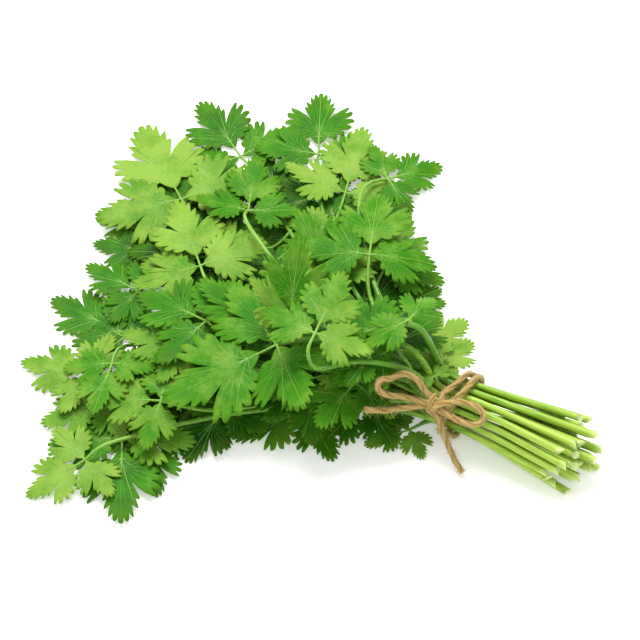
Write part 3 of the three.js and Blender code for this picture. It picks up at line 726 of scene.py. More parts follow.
# The wave runs round the blade: its amount times the sine of a few times the angle, more towards
# the rim. The ruffle is the same again, with more waves.
ahead = add(leaf_tree, "ShaderNodeMath", {0: flat[0], 1: WAVE_MIDDLE}, operation="ADD").outputs[0]
angle = add(leaf_tree, "ShaderNodeMath", {0: flat[1], 1: ahead}, operation="ARCTAN2").outputs[0]
far = add(leaf_tree, "ShaderNodeMath", {0: xx, 1: yy}, operation="ADD").outputs[0]
swing = add(leaf_tree, "ShaderNodeMath", {0: angle, 1: WAVES_ROUND, 2: edge[1]},
            operation="MULTIPLY_ADD")
swing = add(leaf_tree, "ShaderNodeMath", {0: swing.outputs[0]}, operation="SINE")
swing = add(leaf_tree, "ShaderNodeMath", {0: swing.outputs[0], 1: edge[0]}, operation="MULTIPLY")
quick = add(leaf_tree, "ShaderNodeMath", {0: angle, 1: RUFFLES_ROUND, 2: edge[2]},
            operation="MULTIPLY_ADD")
quick = add(leaf_tree, "ShaderNodeMath", {0: quick.outputs[0]}, operation="SINE")
quick = add(leaf_tree, "ShaderNodeMath", {0: quick.outputs[0], 1: given["Ruffle"]},
            operation="MULTIPLY")
both = add(leaf_tree, "ShaderNodeMath", {0: swing.outputs[0], 1: quick.outputs[0]},
           operation="ADD")
high = add(leaf_tree, "ShaderNodeMath", {0: both.outputs[0], 1: far, 2: bent},
           operation="MULTIPLY_ADD")
print("with the bent surface:", len(leaf_tree.nodes), "nodes")

# %% The leaf tree: size, turn and place
LEAF_OFF_TABLE = 0.3 * MM

# To real size, with half the thickness to either side, then turned and put in place.
size, stand = span[0], span[1]
local_x = add(leaf_tree, "ShaderNodeMath", {0: flat[0], 1: size, 2: stand},
              operation="MULTIPLY_ADD")
local_y = add(leaf_tree, "ShaderNodeMath", {0: flat[1], 1: size}, operation="MULTIPLY")
half = add(leaf_tree, "ShaderNodeMath", {0: given["Thickness"], 1: 0.5}, operation="MULTIPLY")
skin = add(leaf_tree, "ShaderNodeMath", {0: flat[2], 1: half.outputs[0]}, operation="MULTIPLY")
local_z = add(leaf_tree, "ShaderNodeMath", {0: high.outputs[0], 1: size, 2: skin.outputs[0]},
              operation="MULTIPLY_ADD")
local = add(leaf_tree, "ShaderNodeCombineXYZ",
            {0: local_x.outputs[0], 1: local_y.outputs[0], 2: local_z.outputs[0]})
turn = add(leaf_tree, "FunctionNodeEulerToRotation", {0: read["turn"]})
local = add(leaf_tree, "FunctionNodeRotateVector", {0: local.outputs[0], 1: turn.outputs[0]})
spot = add(leaf_tree, "ShaderNodeVectorMath", {0: local.outputs[0], 1: read["base"]},
           operation="ADD")
lowest = add(leaf_tree, "ShaderNodeMath", {0: skin.outputs[0], 1: LEAF_OFF_TABLE}, operation="ADD")
spot = pressed_flat(leaf_tree, spot.outputs[0], lowest.outputs[0])
moved = add(leaf_tree, "GeometryNodeSetPosition", {0: real.outputs[0], "Position": spot})
painted = add(leaf_tree, "GeometryNodeSetMaterial",
              {0: moved.outputs[0], "Material": given["Material"]})
add(leaf_tree, "NodeGroupOutput", {0: painted.outputs[0]})
print("the whole leaf tree:", len(leaf_tree.nodes), "nodes")

# %% A plan mesh for the leaflets of one leaf
LEAF_THICKNESS = 0.34 * MM
RUFFLE = 0.042
TONE_JITTER = 0.14


def leaf_blades(i, name):
    """The blades of one leaf. A leaflet has the tone of its leaf unless it carries its own."""
    leaflets, tone = bunch[i]["leaflets"], SPRIGS[i][TONE]
    plan = bpy.data.meshes.new("plan")
    bases = [leaflet["base"] * MM for leaflet in leaflets]
    plan.from_pydata(bases, [], [])
    stored(plan, "base", "FLOAT_VECTOR", bases)
    stored(plan, "turn", "FLOAT_VECTOR", [leaflet["turn"] for leaflet in leaflets])
    stored(plan, "form", "FLOAT_VECTOR", [(f["twist"], -f["droop"], -f["fold"]) for f in leaflets])
    stored(plan, "edge", "FLOAT_VECTOR", [
        (f["wave"], f["phase"], math.pi * leaflet_draw(i, j, "ruffle"))
        for j, f in enumerate(leaflets)])
    stored(plan, "span", "FLOAT_VECTOR", [(f["size"] * MM, f["stand"] * MM, 0) for f in leaflets])
    stored(plan, "tone", "FLOAT", [
        f.get("tone", tone) + TONE_JITTER * leaflet_draw(i, j, "tone")
        for j, f in enumerate(leaflets)])
    return run_tree(leaf_tree, plan, name, Leaflet=leaflet_object, Thickness=LEAF_THICKNESS,
                    Ruffle=RUFFLE, Material=leaf_green)


print("leaf thickness:", round(LEAF_THICKNESS / MM, 2), "mm")

# %% [markdown]
# ## Stems, stalks and ribs
# A stem, the short stalk of a leaflet and the ribs inside a blade are all the same thing: a line
# with a thickness at each point. One tree sweeps a ridged round profile along such lines and lets
# the thickness set its scale. The cut end is slanted by sliding the points of its ring along the
# stem, more on one side than on the other, as a knife leaves it.

# %% A smooth line through a few points
def smooth_line(points, step):
    """A line through the points, about a step apart, and for each the number of points passed.

    Centripetal Catmull-Rom keeps close to its points where they are unevenly spaced.
    """
    padded = [2 * points[0] - points[1], *points, 2 * points[-1] - points[-2]]
    line, marks = [], []
    for k in range(1, len(padded) - 2):
        p = padded[k - 1:k + 3]
        knots = [0]
        for a, b in zip(p, p[1:]):
            knots.append(knots[-1] + math.sqrt(max((b - a).length, 1e-6)))
        count = max(1, round((p[2] - p[1]).length / step))
        for n in range(count):
            t = knots[1] + (knots[2] - knots[1]) * n / count
            a = [p[m].lerp(p[m + 1], (t - knots[m]) / (knots[m + 1] - knots[m])) for m in range(3)]
            b = [a[m].lerp(a[m + 1], (t - knots[m]) / (knots[m + 2] - knots[m])) for m in range(2)]
            line.append(b[0].lerp(b[1], (t - knots[1]) / (knots[2] - knots[1])))
            marks.append(k - 1 + n / count)
    return line + [points[-1]], marks + [len(points) - 1]


STEM_STEP = 3
print("points on the line of stem 1:",
      len(smooth_line([p for p, _ in bunch[0]["stations"]], STEM_STEP)[0]))

# %% The stem tree: a ridged profile along each line
stem_tree = new_tree("ridged_stems", Sides="Int", Ridge="Float", Material="Material",
                     Blades="Object")
given = add(stem_tree, "NodeGroupInput").outputs
lines = add(stem_tree, "GeometryNodeMeshToCurve", {0: given["Geometry"]})
position = add(stem_tree, "GeometryNodeInputPosition").outputs[0]
tangent = add(stem_tree, "GeometryNodeInputTangent").outputs[0]
kept = add(stem_tree, "GeometryNodeStoreNamedAttribute",
           {0: lines.outputs[0], "Name": "spine", "Value": position}, data_type="FLOAT_VECTOR")
kept = add(stem_tree, "GeometryNodeStoreNamedAttribute",
           {0: kept.outputs[0], "Name": "heading", "Value": tangent}, data_type="FLOAT_VECTOR")

# Every other point of the round profile is pulled in, which leaves fine ridges along the stem.
circle = add(stem_tree, "GeometryNodeCurvePrimitiveCircle",
             {"Resolution": given["Sides"], "Radius": 1.0})
index = add(stem_tree, "GeometryNodeInputIndex").outputs[0]
odd = add(stem_tree, "ShaderNodeMath", {0: index, 1: 2}, operation="MODULO").outputs[0]
pulled = add(stem_tree, "ShaderNodeMath", {0: odd, 1: given["Ridge"]}, operation="MULTIPLY")
scale = add(stem_tree, "ShaderNodeMath", {0: 1, 1: pulled.outputs[0]}, operation="SUBTRACT")
ridged = add(stem_tree, "ShaderNodeVectorMath", {0: position, 3: scale.outputs[0]},
             operation="SCALE")
profile = add(stem_tree, "GeometryNodeSetPosition",
              {0: circle.outputs[0], "Position": ridged.outputs[0]})
radius = add(stem_tree, "GeometryNodeInputNamedAttribute", {"Name": "thick"}, data_type="FLOAT")
swept = add(stem_tree, "GeometryNodeCurveToMesh", {
    "Curve": kept.outputs[0], "Profile Curve": profile.outputs[0], "Scale": radius.outputs[0],
    "Fill Caps": True})
print("stem tree:", len(stem_tree.nodes), "nodes to sweep")

# %% The stem tree: the slanted cut, and the blades
STEM_OFF_TABLE = 0.05 * MM

# A point slides along the stem by how far out it lies on the side that the cut slants to.
read = {}
for name in ("spine", "heading", "slant"):
    read[name] = add(stem_tree, "GeometryNodeInputNamedAttribute", {"Name": name},
                     data_type="FLOAT_VECTOR").outputs[0]
out = add(stem_tree, "ShaderNodeVectorMath", {0: position, 1: read["spine"]}, operation="SUBTRACT")
amount = add(stem_tree, "ShaderNodeVectorMath", {0: out.outputs[0], 1: read["slant"]},
             operation="DOT_PRODUCT").outputs["Value"]
slide = add(stem_tree, "ShaderNodeVectorMath", {0: read["heading"], 3: amount}, operation="SCALE")
cut = add(stem_tree, "GeometryNodeSetPosition", {0: swept.outputs[0], "Offset": slide.outputs[0]})

spot = pressed_flat(stem_tree, position, STEM_OFF_TABLE)
rested = add(stem_tree, "GeometryNodeSetPosition", {0: cut.outputs[0], "Position": spot})
real = add(stem_tree, "GeometryNodeRealizeInstances", {0: rested.outputs[0]})
painted = add(stem_tree, "GeometryNodeSetMaterial",
              {0: real.outputs[0], "Material": given["Material"]})
blades = add(stem_tree, "GeometryNodeObjectInfo", {"Object": given["Blades"]})
whole = add(stem_tree, "GeometryNodeJoinGeometry", {0: painted.outputs[0]})
stem_tree.links.new(blades.outputs["Geometry"], whole.inputs[0])
add(stem_tree, "NodeGroupOutput", {0: whole.outputs[0]})
print("the whole stem tree:", len(stem_tree.nodes), "nodes")

# %% [markdown]
# ## Small leaves in the gaps
# A stem of coriander also bears small leaves low down, and in a tied bunch they lie pressed under
# the large ones and fill the gaps between them. They are given a dark green, which is painted shade
# for the deep gaps they lie in. They are placed by looking: from a grid of spots close to the table,
# one line is sent towards the eye and one straight up. Where either meets no leaf, but there is
# foliage all round, a small leaf is laid and joined by a thin stalk to the nearest stem.

# %% One tree of faces for many pieces
def search_tree(meshes):
    """All the faces of some meshes, in millimetres, for lines to be sent at."""
    points, faces = [], []
    for mesh in meshes:
        first = len(points)
        points += [v.co / MM for v in mesh.vertices]
        faces += [[first + n for n in p.vertices] for p in mesh.polygons]
    return BVHTree.FromPolygons(points, faces)


trial_blades = [leaf_blades(i, "trial") for i in range(len(bunch))]
all_blades = search_tree([blades.data for blades in trial_blades])
for blades in trial_blades:
    bpy.data.objects.remove(blades)
print("faces come from", len(trial_blades), "leaves")

# %% Find the gaps
GRID_STEP = 6
GAP_HEIGHT = 4
SIDES_ROUND, LEAST_SIDES = 8, 6
ROUND_ABOUT = 24
LOW_LEAF_APART = 12
FOLIAGE_START = -14
UP = Vector((0, 0, 1))


def covered(x, y, direction=back):
    return all_blades.ray_cast(Vector((x, y, GAP_HEIGHT)), direction)[0] is not None


def enclosed(x, y):
    """How many of the spots round about have foliage between them and the eye."""
    angles = [k * 2 * math.pi / SIDES_ROUND for k in range(SIDES_ROUND)]
    return sum(covered(x + ROUND_ABOUT * math.cos(a), y + ROUND_ABOUT * math.sin(a))
               for a in angles)


def gaps():
    """Bare spots with foliage round about, not too close to one another."""
    lowest, highest = [c / MM for c in cad_box[0]], [c / MM for c in cad_box[1]]
    found = []
    for column in range(int((highest[0] - lowest[0]) / GRID_STEP)):
        for row in range(int((highest[1] - lowest[1]) / GRID_STEP)):
            x = lowest[0] + GRID_STEP * (column + 0.5 * (row % 2))
            y = lowest[1] + GRID_STEP * row
            near = any(math.hypot(x - a, y - b) < LOW_LEAF_APART for a, b in found)
            bare = not (covered(x, y) and covered(x, y, UP))
            if bare and x < FOLIAGE_START and not near and enclosed(x, y) >= LEAST_SIDES:
                found.append((x, y))
    return found


gap_spots = gaps()
print("gaps between the leaves:", len(gap_spots))

# %% Join a small leaf to a stem
# Counted from the cut end, which is 0, the leaf side of the tie is station 2 of a stem.
TIED_MARK, PAST_TIE = 2, 3
STALK_HANDLE = 0.4
low_stalks = {i: [] for i in range(len(bunch))}


def nearest_stem(base):
    """The stem that passes closest, and its point there, between the tie and the leaf."""
    best = None
    for i, sprig in enumerate(bunch):
        points, marks = smooth_line([p for p, _ in sprig["stations"]], STEM_STEP)
        for p, mark in zip(points, marks):
            if mark > PAST_TIE and (best is None or (p - base).length < best[0]):
                best = (p - base).length, i, p
    return best


def joined_to_stem(leaflets):
    """Gives the leaflets to the nearest stem, with a stalk that arrives from behind them."""
    base, yaw = leaflets[0]["base"], leaflets[0]["turn"][2]
    _, i, joint = nearest_stem(base)
    bunch[i]["leaflets"] += leaflets
    away = Vector((math.cos(yaw), math.sin(yaw), 0))
    low_stalks[i].append((joint, base, base - STALK_HANDLE * (joint - base).length * away))


distance, i, _ = nearest_stem(Vector((*gap_spots[0], GAP_HEIGHT)))
print("the first gap lies", round(distance, 1), "mm from stem", i + 1)

# %% Lay a small leaf in each gap
LOW_LEAF_SIZE = 22
LOW_LEAF_YAWS, LOW_SIDE_SIZE, LOW_STAND = (0, 80, -80), 0.85, 0.16
LOW_LEAF_HEIGHT, LOW_LEAF_MIDDLE = 2.4, 0.4
LOW_LEAF_CENTRE_X = -20
LOW_LEAF_PITCH, LOW_LEAF_DROOP, LOW_LEAF_WAVE = 0.03, 0.02, 0.03
# A dark tone: painted shade for the gaps between the large leaves.
LOW_LEAF_SHADE_TONE = 0.18
# Each draw's number, and how far it shifts its trait. A leaflet's traits take three numbers each.
LOW_LEAF_DRAWS = {
    "away": (301, 0.5), "size": (302, 0.15), "height": (303, 1.2), "roll": (304, 0.12),
    "pitch": (307, 0.03), "fold": (310, 0.04), "twist": (313, 0.04), "phase": (316, math.pi),
}


def shift(n, draws, trait, j=0):
    """How far a trait of leaflet j of small leaf n is shifted."""
    first, amount = draws[trait]
    return amount * draw(n, first + j)


def low_leaf(n, x, y):
    """Three leaflets close to the table that point outwards, with their middle over the gap."""
    draws = LOW_LEAF_DRAWS
    away = math.atan2(y, x - LOW_LEAF_CENTRE_X) + shift(n, draws, "away")
    size = LOW_LEAF_SIZE * (1 + shift(n, draws, "size"))
    base = Vector((x - LOW_LEAF_MIDDLE * size * math.cos(away),
                   y - LOW_LEAF_MIDDLE * size * math.sin(away),
                   LOW_LEAF_HEIGHT + shift(n, draws, "height")))
    leaflets = []
    for j, yaw in enumerate(LOW_LEAF_YAWS):
        pitch = LOW_LEAF_PITCH + shift(n, draws, "pitch", j)
        leaflets.append({
            "base": base, "size": size * (1 if j == 0 else LOW_SIDE_SIZE),
            "stand": LOW_STAND * size, "tone": LOW_LEAF_SHADE_TONE,
            "turn": (shift(n, draws, "roll", j), pitch, away + math.radians(yaw)),
            "droop": LOW_LEAF_DROOP, "fold": shift(n, draws, "fold", j),
            "twist": shift(n, draws, "twist", j),
            "wave": LOW_LEAF_WAVE, "phase": shift(n, draws, "phase", j),
        })
    return leaflets


for n, (x, y) in enumerate(gap_spots):
    joined_to_stem(low_leaf(n, x, y))
print("small leaves on stems:", {i + 1: len(s) for i, s in low_stalks.items() if s})

# %% [markdown]
# ## Small leaves caught by the tie
# Where the twine gathers the stems, a few small leaves are caught and lie on top of them. Their
# place, heading and size are given. Their height and slope are not: both ends are dropped on the
# CAD nodes, so the leaf rests on whatever is under it.

# %% Lay a few small leaves on the stems by the tie
# Place of the leaf's base, the way it points in degrees, its length, and its tone.
CAUGHT_LEAVES = (
    (-26, 3, 158, 22, 0.5), (-14.5, 9, 140, 22, 1.0), (-10.5, -2.5, 150, 9, 0.75),
    (-36, -13, 185, 17, 0.45), (-12, 2, 120, 11, 0.85),
)
CAUGHT_CLEARANCE = 2.2
CAUGHT_YAWS, CAUGHT_SIDE_SIZE, CAUGHT_STAND = (0, 75, -75), 0.8, 0.14
CAUGHT_DROOP, CAUGHT_WAVE = 0.14, 0.05
CAUGHT_LEAF_DRAWS = {"roll": (401, 0.15), "pitch": (404, 0.1), "fold": (407, 0.1),
                     "twist": (410, 0.1), "phase": (413, math.pi)}
all_nodes = search_tree([node.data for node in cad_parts.values()])


def resting(x, y):
    """A point a little over the highest face at that place."""
    hit = all_nodes.ray_cast(Vector((x, y, RAY_TOP)), DOWN)[0]
    return Vector((x, y, (hit.z if hit else 0) + CAUGHT_CLEARANCE))


def caught_leaf(n, x, y, heading, size, tone):
    """Three leaflets that slope from where the base rests to where the tip rests."""
    draws = CAUGHT_LEAF_DRAWS
    yaw = math.radians(heading)
    base, tip = resting(x, y), resting(x + size * math.cos(yaw), y + size * math.sin(yaw))
    pitch = math.atan2(base.z - tip.z, size)
    leaflets = []
    for j, spread in enumerate(CAUGHT_YAWS):
        slope = pitch * math.cos(math.radians(spread)) + shift(n, draws, "pitch", j)
        leaflets.append({
            "base": base, "size": size * (1 if j == 0 else CAUGHT_SIDE_SIZE),
            "stand": CAUGHT_STAND * size, "tone": tone,
            "turn": (shift(n, draws, "roll", j), slope, yaw + math.radians(spread)),
            "droop": CAUGHT_DROOP, "fold": shift(n, draws, "fold", j),
            "twist": shift(n, draws, "twist", j),
            "wave": CAUGHT_WAVE, "phase": shift(n, draws, "phase", j),
        })
    return leaflets


for n, plan_place in enumerate(CAUGHT_LEAVES):
    joined_to_stem(caught_leaf(n, *plan_place))
print("caught leaves rest at", [round(resting(x, y).z, 1) for x, y, *_ in CAUGHT_LEAVES], "mm")

# %% [markdown]
# ## The lines of one leafy stem
# A stem is thickest at its cut end and gets more slender towards the leaf. It is pale at the cut,
# darkest a little way past the tie, where painted shade stands for the leaves that lie over it, and
# lighter again at the leaf. The ribs of a leaflet are part of its shape and not only of its colour:
# they fan out from its neck towards the larger teeth, stand a little out of the blade, and taper
# until they sink into it.

# %% The line of one stem
SLENDER = 0.62
CUT_COLLAR = 0.35
# Past the tie the tone climbs to SHADED_TONE, the painted shade under the leaves, over SHADE_REACH
# mm.
TIE_TONE, SHADED_TONE, SHADE_REACH = 0.3, 0.5, 25
STEM_TONE_JITTER = 0.12


def stem_line(i):
    """Points, radii, and a tone that is about 0 at the cut end and 1 at the leaf."""
    stations = bunch[i]["stations"]
    points, marks = smooth_line([p for p, _ in stations], STEM_STEP)
    radii = []
    for mark in marks:
        k = min(int(mark), len(stations) - 2)
        radius = stations[k][1] + (mark - k) * (stations[k + 1][1] - stations[k][1])
        leafwards = max(0, mark - TIED_MARK) / (len(stations) - 1 - TIED_MARK)
        radii.append(radius * (1 + (SLENDER - 1) * leafwards))
    inward = (points[1] - points[0]).normalized()
    points.insert(1, points[0] + CUT_COLLAR * inward)
    radii.insert(1, radii[0])
    marks.insert(1, 0)
    tied = next(k for k, mark in enumerate(marks) if mark >= TIED_MARK)
    travelled = [0]
    for a, b in zip(points[tied:], points[tied + 1:]):
        travelled.append(travelled[-1] + (b - a).length)
    # The tone rises evenly to the tie, faster over a short reach past it into the painted shade
    # under the leaves, then evenly to the leaf.
    tones = [TIE_TONE * k / tied for k in range(tied)]
    tones += [TIE_TONE + (SHADED_TONE - TIE_TONE) * min(1, d / SHADE_REACH)
              + (1 - SHADED_TONE) * d / travelled[-1] for d in travelled]
    return points, radii, [tone + STEM_TONE_JITTER * draw(i, STEM_TONE_DRAW) for tone in tones]


print("radii of stem 1, in mm:", round(stem_line(0)[1][0], 2), "to", round(stem_line(0)[1][-1], 2))

# %% The stalk and ribs of one leaflet
STALK_RADII, STALK_SHARES, STALK_INTO_BLADE = (0.6, 0.4), (0, 0.25, 0.5, 0.75, 1), 0.1
RIB_RADII, RIB_STEPS, RIB_CURVE = (0.27, 0.1), 7, 1.25
RIB_ENDS = ((0.97, 0), (0.4, 0.5), (0.4, -0.5), (0.78, 0.2), (0.78, -0.2),
            (0.1, 0.34), (0.1, -0.34))


def rib_lines(leaflet):
    """The leaflet's own stalk, and ribs from its neck towards the larger teeth."""
    turned, base = Euler(leaflet["turn"]).to_matrix(), leaflet["base"]
    size, stand = leaflet["size"], leaflet["stand"]

    def on_blade(x, y):
        high = size * relief(max(x, 0), y, leaflet)
        return base + turned @ Vector((stand + x * size, y * size, high))

    neck = -stand / size
    stalk = [on_blade(neck * (1 - t) + STALK_INTO_BLADE * t, 0) for t in STALK_SHARES]
    lines = [(stalk, STALK_RADII)]
    for x, y in RIB_ENDS:
        shares = [n / RIB_STEPS for n in range(RIB_STEPS + 1)]
        lines.append(([on_blade(x * t, y * t ** RIB_CURVE) for t in shares], RIB_RADII))
    return lines


print("lines on a leaflet:", len(rib_lines(bunch[0]["leaflets"][0])))

# %% The plan meshes of one leafy stem, and the two sweeps
CUT_SLANT = 0.75
FRESHNESS = (1, 0.6)
LOW_STALK_RADII, LOW_STALK_STEPS = (0.8, 0.6), 8
STEM_SIDES, RIB_SIDES = 12, 5
STEM_RIDGE = 0.07


def plan_of_lines(lines, slants=()):
    """A mesh of edges with the attributes the tree reads. A line is its points, radii and tones."""
    points, radii, tones, edges = [], [], [], []
    for line, line_radii, line_tones in lines:
        edges += [(len(points) + k, len(points) + k + 1) for k in range(len(line) - 1)]
        points, radii, tones = points + line, radii + line_radii, tones + line_tones
    plan = bpy.data.meshes.new("plan")
    plan.from_pydata([p * MM for p in points], edges, [])
    stored(plan, "thick", "FLOAT", [r * MM for r in radii])
    stored(plan, "along", "FLOAT", tones)
    rest = len(points) - len(slants)
    stored(plan, "slant", "FLOAT_VECTOR", [*slants, *[Vector()] * rest])
    stored(plan, "fresh", "FLOAT", [*FRESHNESS[:len(slants)], *[0] * rest])
    return plan


def twig(line, first, last):
    """A thin line that tapers evenly, with the tone of a leaf's own stalk."""
    count = len(line)
    return line, [first + (last - first) * k / (count - 1) for k in range(count)], [1] * count


def leafy_stem(i, name, blades):
    """One piece: the blades, their ribs and stalks, and the stem with a slanted cut."""
    ribs = [twig(line, *radii)
            for leaflet in bunch[i]["leaflets"] for line, radii in rib_lines(leaflet)]
    veined = run_tree(stem_tree, plan_of_lines(ribs), "veined_blades", Sides=RIB_SIDES, Ridge=0,
                      Material=stem_green, Blades=blades)
    stems = [stem_line(i)]
    for joint, base, bend in low_stalks[i]:
        shares = [k / LOW_STALK_STEPS for k in range(LOW_STALK_STEPS + 1)]
        line = [joint.lerp(bend, t).lerp(bend.lerp(base, t), t) for t in shares]
        stems.append(twig(line, *LOW_STALK_RADII))
    tilt = math.pi * draw(i, CUT_TILT_DRAW)
    slants = [Vector((0, math.cos(tilt), math.sin(tilt))) * CUT_SLANT, Vector()]
    piece = run_tree(stem_tree, plan_of_lines(stems, slants), name, Sides=STEM_SIDES,
                     Ridge=STEM_RIDGE, Material=stem_green, Blades=veined)
    bpy.data.objects.remove(veined)
    piece.data.shade_smooth()
    return piece


print("sides of a stem and of a rib:", STEM_SIDES, RIB_SIDES)


leafy_stems = []
for i in range(len(SPRIGS)):
    blades = leaf_blades(i, f"blades_{i + 1:02d}")
    piece = leafy_stem(i, f"leafy_stem_{i + 1:02d}", blades)
    bpy.data.objects.remove(blades)
    leafy_stems.append(piece)
    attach(piece, "root")
    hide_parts(f"sprig_{i + 1:02d}")
triangles = [sum(len(p.vertices) - 2 for p in piece.data.polygons) for piece in leafy_stems]
print("leafy stems:", len(leafy_stems), "triangles:", sum(triangles), "at most:", max(triangles))

# %% [markdown]
# ## The twine's path
# The twine is one length of thin jute string: it starts at a loose end, makes a loop, goes twice
# round the bundle, makes the other loop and ends in a second loose end, all through one knot. The
# turns lie on the bundle, so they follow a rule. The loops and ends are listed, and where they rest
# on leaves their height is measured on the CAD node. Inside the knot the string passes over and
# under itself, which is drawn with a few points on axes of the knot's own.

# %% The turns round the bundle, in millimetres
TWINE_RADIUS = 1.35
TWINE_CLEARANCE = 0.55
TIE_CENTRE_HEIGHT = BOTTOM_ROW_HEIGHT + 3 * ROW_RISE
KNOT = Vector((-7, -12.2, 26.6))

# Angle from +Y through the top, place along X, and how far it stands out from the stems.
WRAP_STATIONS = (
    (120, -5.2, 1.2), (100, -3, 0), (80, -1.4, 0), (60, 0, 0), (40, 1.2, 0), (20, 1.4, 0),
    (0, 1, 0), (-30, 0.5, 0), (-60, 0.3, 0), (-90, 0, 0), (-120, -1, 0), (-150, -1.9, 0),
    (-180, -2.2, 0), (-210, -1.4, 0), (-230, -0.2, 0), (-250, 1.4, 0), (-270, 2.8, 0),
    (-300, 4, 0), (-320, 4.3, 0), (-340, 4.3, 0), (-360, 4, 0), (-390, 3.5, 0), (-420, 3.3, 0),
    (-450, 3, 0), (-480, 2.3, 0), (-510, 1.2, 0), (-535, -0.2, 0.6), (-560, -2.6, 2.4),
)


def wrap_radius(degrees):
    """From the middle of the bundle to the twine: a hexagon of stems with rounded corners."""
    reach = 3 * STEM_PITCH
    rounding = STEM_RADIUS["tie"] + TWINE_CLEARANCE + TWINE_RADIUS
    half_side = math.radians(30)
    from_corner = math.radians(30 - abs(degrees % 60 - 30))
    at_flat = (reach * math.cos(half_side) + rounding) / math.cos(half_side - from_corner)
    inside = rounding ** 2 - (reach * math.sin(from_corner)) ** 2
    if inside <= 0:
        return at_flat
    return min(at_flat, reach * math.cos(from_corner) + math.sqrt(inside))


wraps = []
for degrees, x, stands_out in WRAP_STATIONS:
    radius, turned = wrap_radius(degrees) + stands_out, math.radians(degrees)
    wraps.append(Vector((x, radius * math.cos(turned),
                         TIE_CENTRE_HEIGHT + radius * math.sin(turned))))
print("points on the two turns:", len(wraps))

# %% Loops, ends and knot
LEFT_LOOP = ((-14.5, -10.6, 29.5), (-20.2, -12.8, 33), (-25.2, -16.6, 37), (-28.2, -20.4, 38.5),
             (-27.8, -23, 37.5), (-24.4, -21.8, 34.5), (-19.4, -17.6, 30.5), (-13.2, -14.4, 28))
RIGHT_LOOP = ((0, -10.9, 30), (5.5, -8.4, 30), (12.1, -7.8, 29), (15.4, -9.6, 26.5),
              (13.1, -13.4, 24.5), (6.1, -14.6, 24.8), (-1.2, -14, 26))
LEFT_END = ((-13.4, -16.8, 25.5), (-19.2, -20.5, 25.5), (-24.2, -25.6, 27.5), (-30.4, -29, 29))
LOWER_END = ((-4.3, -14.9, 24), (0.5, -17.2, 16), (6, -19.7, 6), (12.6, -23.7, 1.4))

# The string's passes through the knot: across it, up the bundle, and out from it.
INTO_LEFT_LOOP = ((-2.6, -1.8, 0.9), (1.4, -0.9, 0.5), (3, 0.9, 0.6), (1.2, 2.1, 1.1),
                  (-2.6, 2.3, 1.2))
INTO_TURNS = ((-2.6, -0.4, 1.9), (1.4, 0.3, 1.7), (3.2, 1.8, 0.3), (2.4, 3.1, -1.8))
INTO_RIGHT_LOOP = ((1.6, -3.3, -1.3), (-0.1, -2.5, 1.5), (-0.4, 0, 3.3), (-0.5, 2.5, 2.2),
                   (-0.4, 3.4, -0.4), (-0.2, 1.5, -2.4), (0.2, -1.6, -2.2), (0.9, -3.2, 0.3),
                   (1.3, -2, 2.4), (2.3, 0.2, 2.9), (4.2, 1.6, 2.2))
INTO_LOWER_END = ((3, -1.6, 1), (0.2, -1.1, 0.7), (-2, -1.9, 0.9), (-1.4, -3.4, 1))

OUT_OF_KNOT = Vector((0, -0.7, 0.714))
UP_THE_BUNDLE = OUT_OF_KNOT.cross(Vector((1, 0, 0)))
BELOW_PLAN = 1
twine_tree, _ = solid_of("twine")


def laid(points):
    """Points at the height that the CAD node has there, or as planned where it passes lower."""
    found = []
    for x, y, z in points:
        middles = [(low + high) / 2 for low, high in spans(twine_tree, x, y)
                   if high - low > TWINE_RADIUS]
        above_plan = [m for m in middles if m > z - BELOW_PLAN]
        found.append(Vector((x, y, min(above_plan, key=lambda m: abs(m - z), default=z))))
    return found


def through_knot(passes):
    return [KNOT + Vector((across, 0, 0)) + up * UP_THE_BUNDLE + out * OUT_OF_KNOT
            for across, up, out in passes]


route = (
    laid(LEFT_END)[::-1] + through_knot(INTO_LEFT_LOOP)
    + laid(LEFT_LOOP) + through_knot(INTO_TURNS)
    + wraps + through_knot(INTO_RIGHT_LOOP)
    + laid(RIGHT_LOOP) + through_knot(INTO_LOWER_END)
    + laid(LOWER_END)
)
print("points along the route:", len(route))

# %% The eased path
TWINE_STEP = 0.7
LOWEST = TWINE_RADIUS + 0.3
EASING_PASSES = 14


def eased(points, passes):
    """Each point drawn towards its neighbours, which opens bends that are too tight for string."""
    for _ in range(passes):
        middle = [(a + 2 * b + c) / 4 for a, b, c in zip(points, points[1:], points[2:])]
        points = [points[0], *middle, points[-1]]
    return points


over_table = [Vector((p.x, p.y, max(p.z, LOWEST))) for p in smooth_line(route, TWINE_STEP)[0]]
twine_path = [p * MM for p in eased(over_table, EASING_PASSES)]

# %% [markdown]
# ## The twine's finish
# Jute is a coarse, dry plant fibre, spun into strands that are twisted together. It is matt and
# straw coloured, with paler single fibres that stand off it. Painted shade darkens the grooves
# between the strands. The streaks run along the strands, so the pattern is drawn on the string's own
# length and roundness and not in space.

# %% Jute material
# Real fibres are 0.1 mm wide or less. These are drawn about 0.3 mm wide, so that they show.
FIBRES_ROUND, FIBRE_LENGTH = 28, 5 * MM
# The dark end of the jute's colours is both darker fibres and painted shade in the grooves.
DARK_FIBRE_AND_GROOVE_SHADE, JUTE_YELLOW, PALE_JUTE = "#5E4812", "#AD8D42", "#DCC68C"

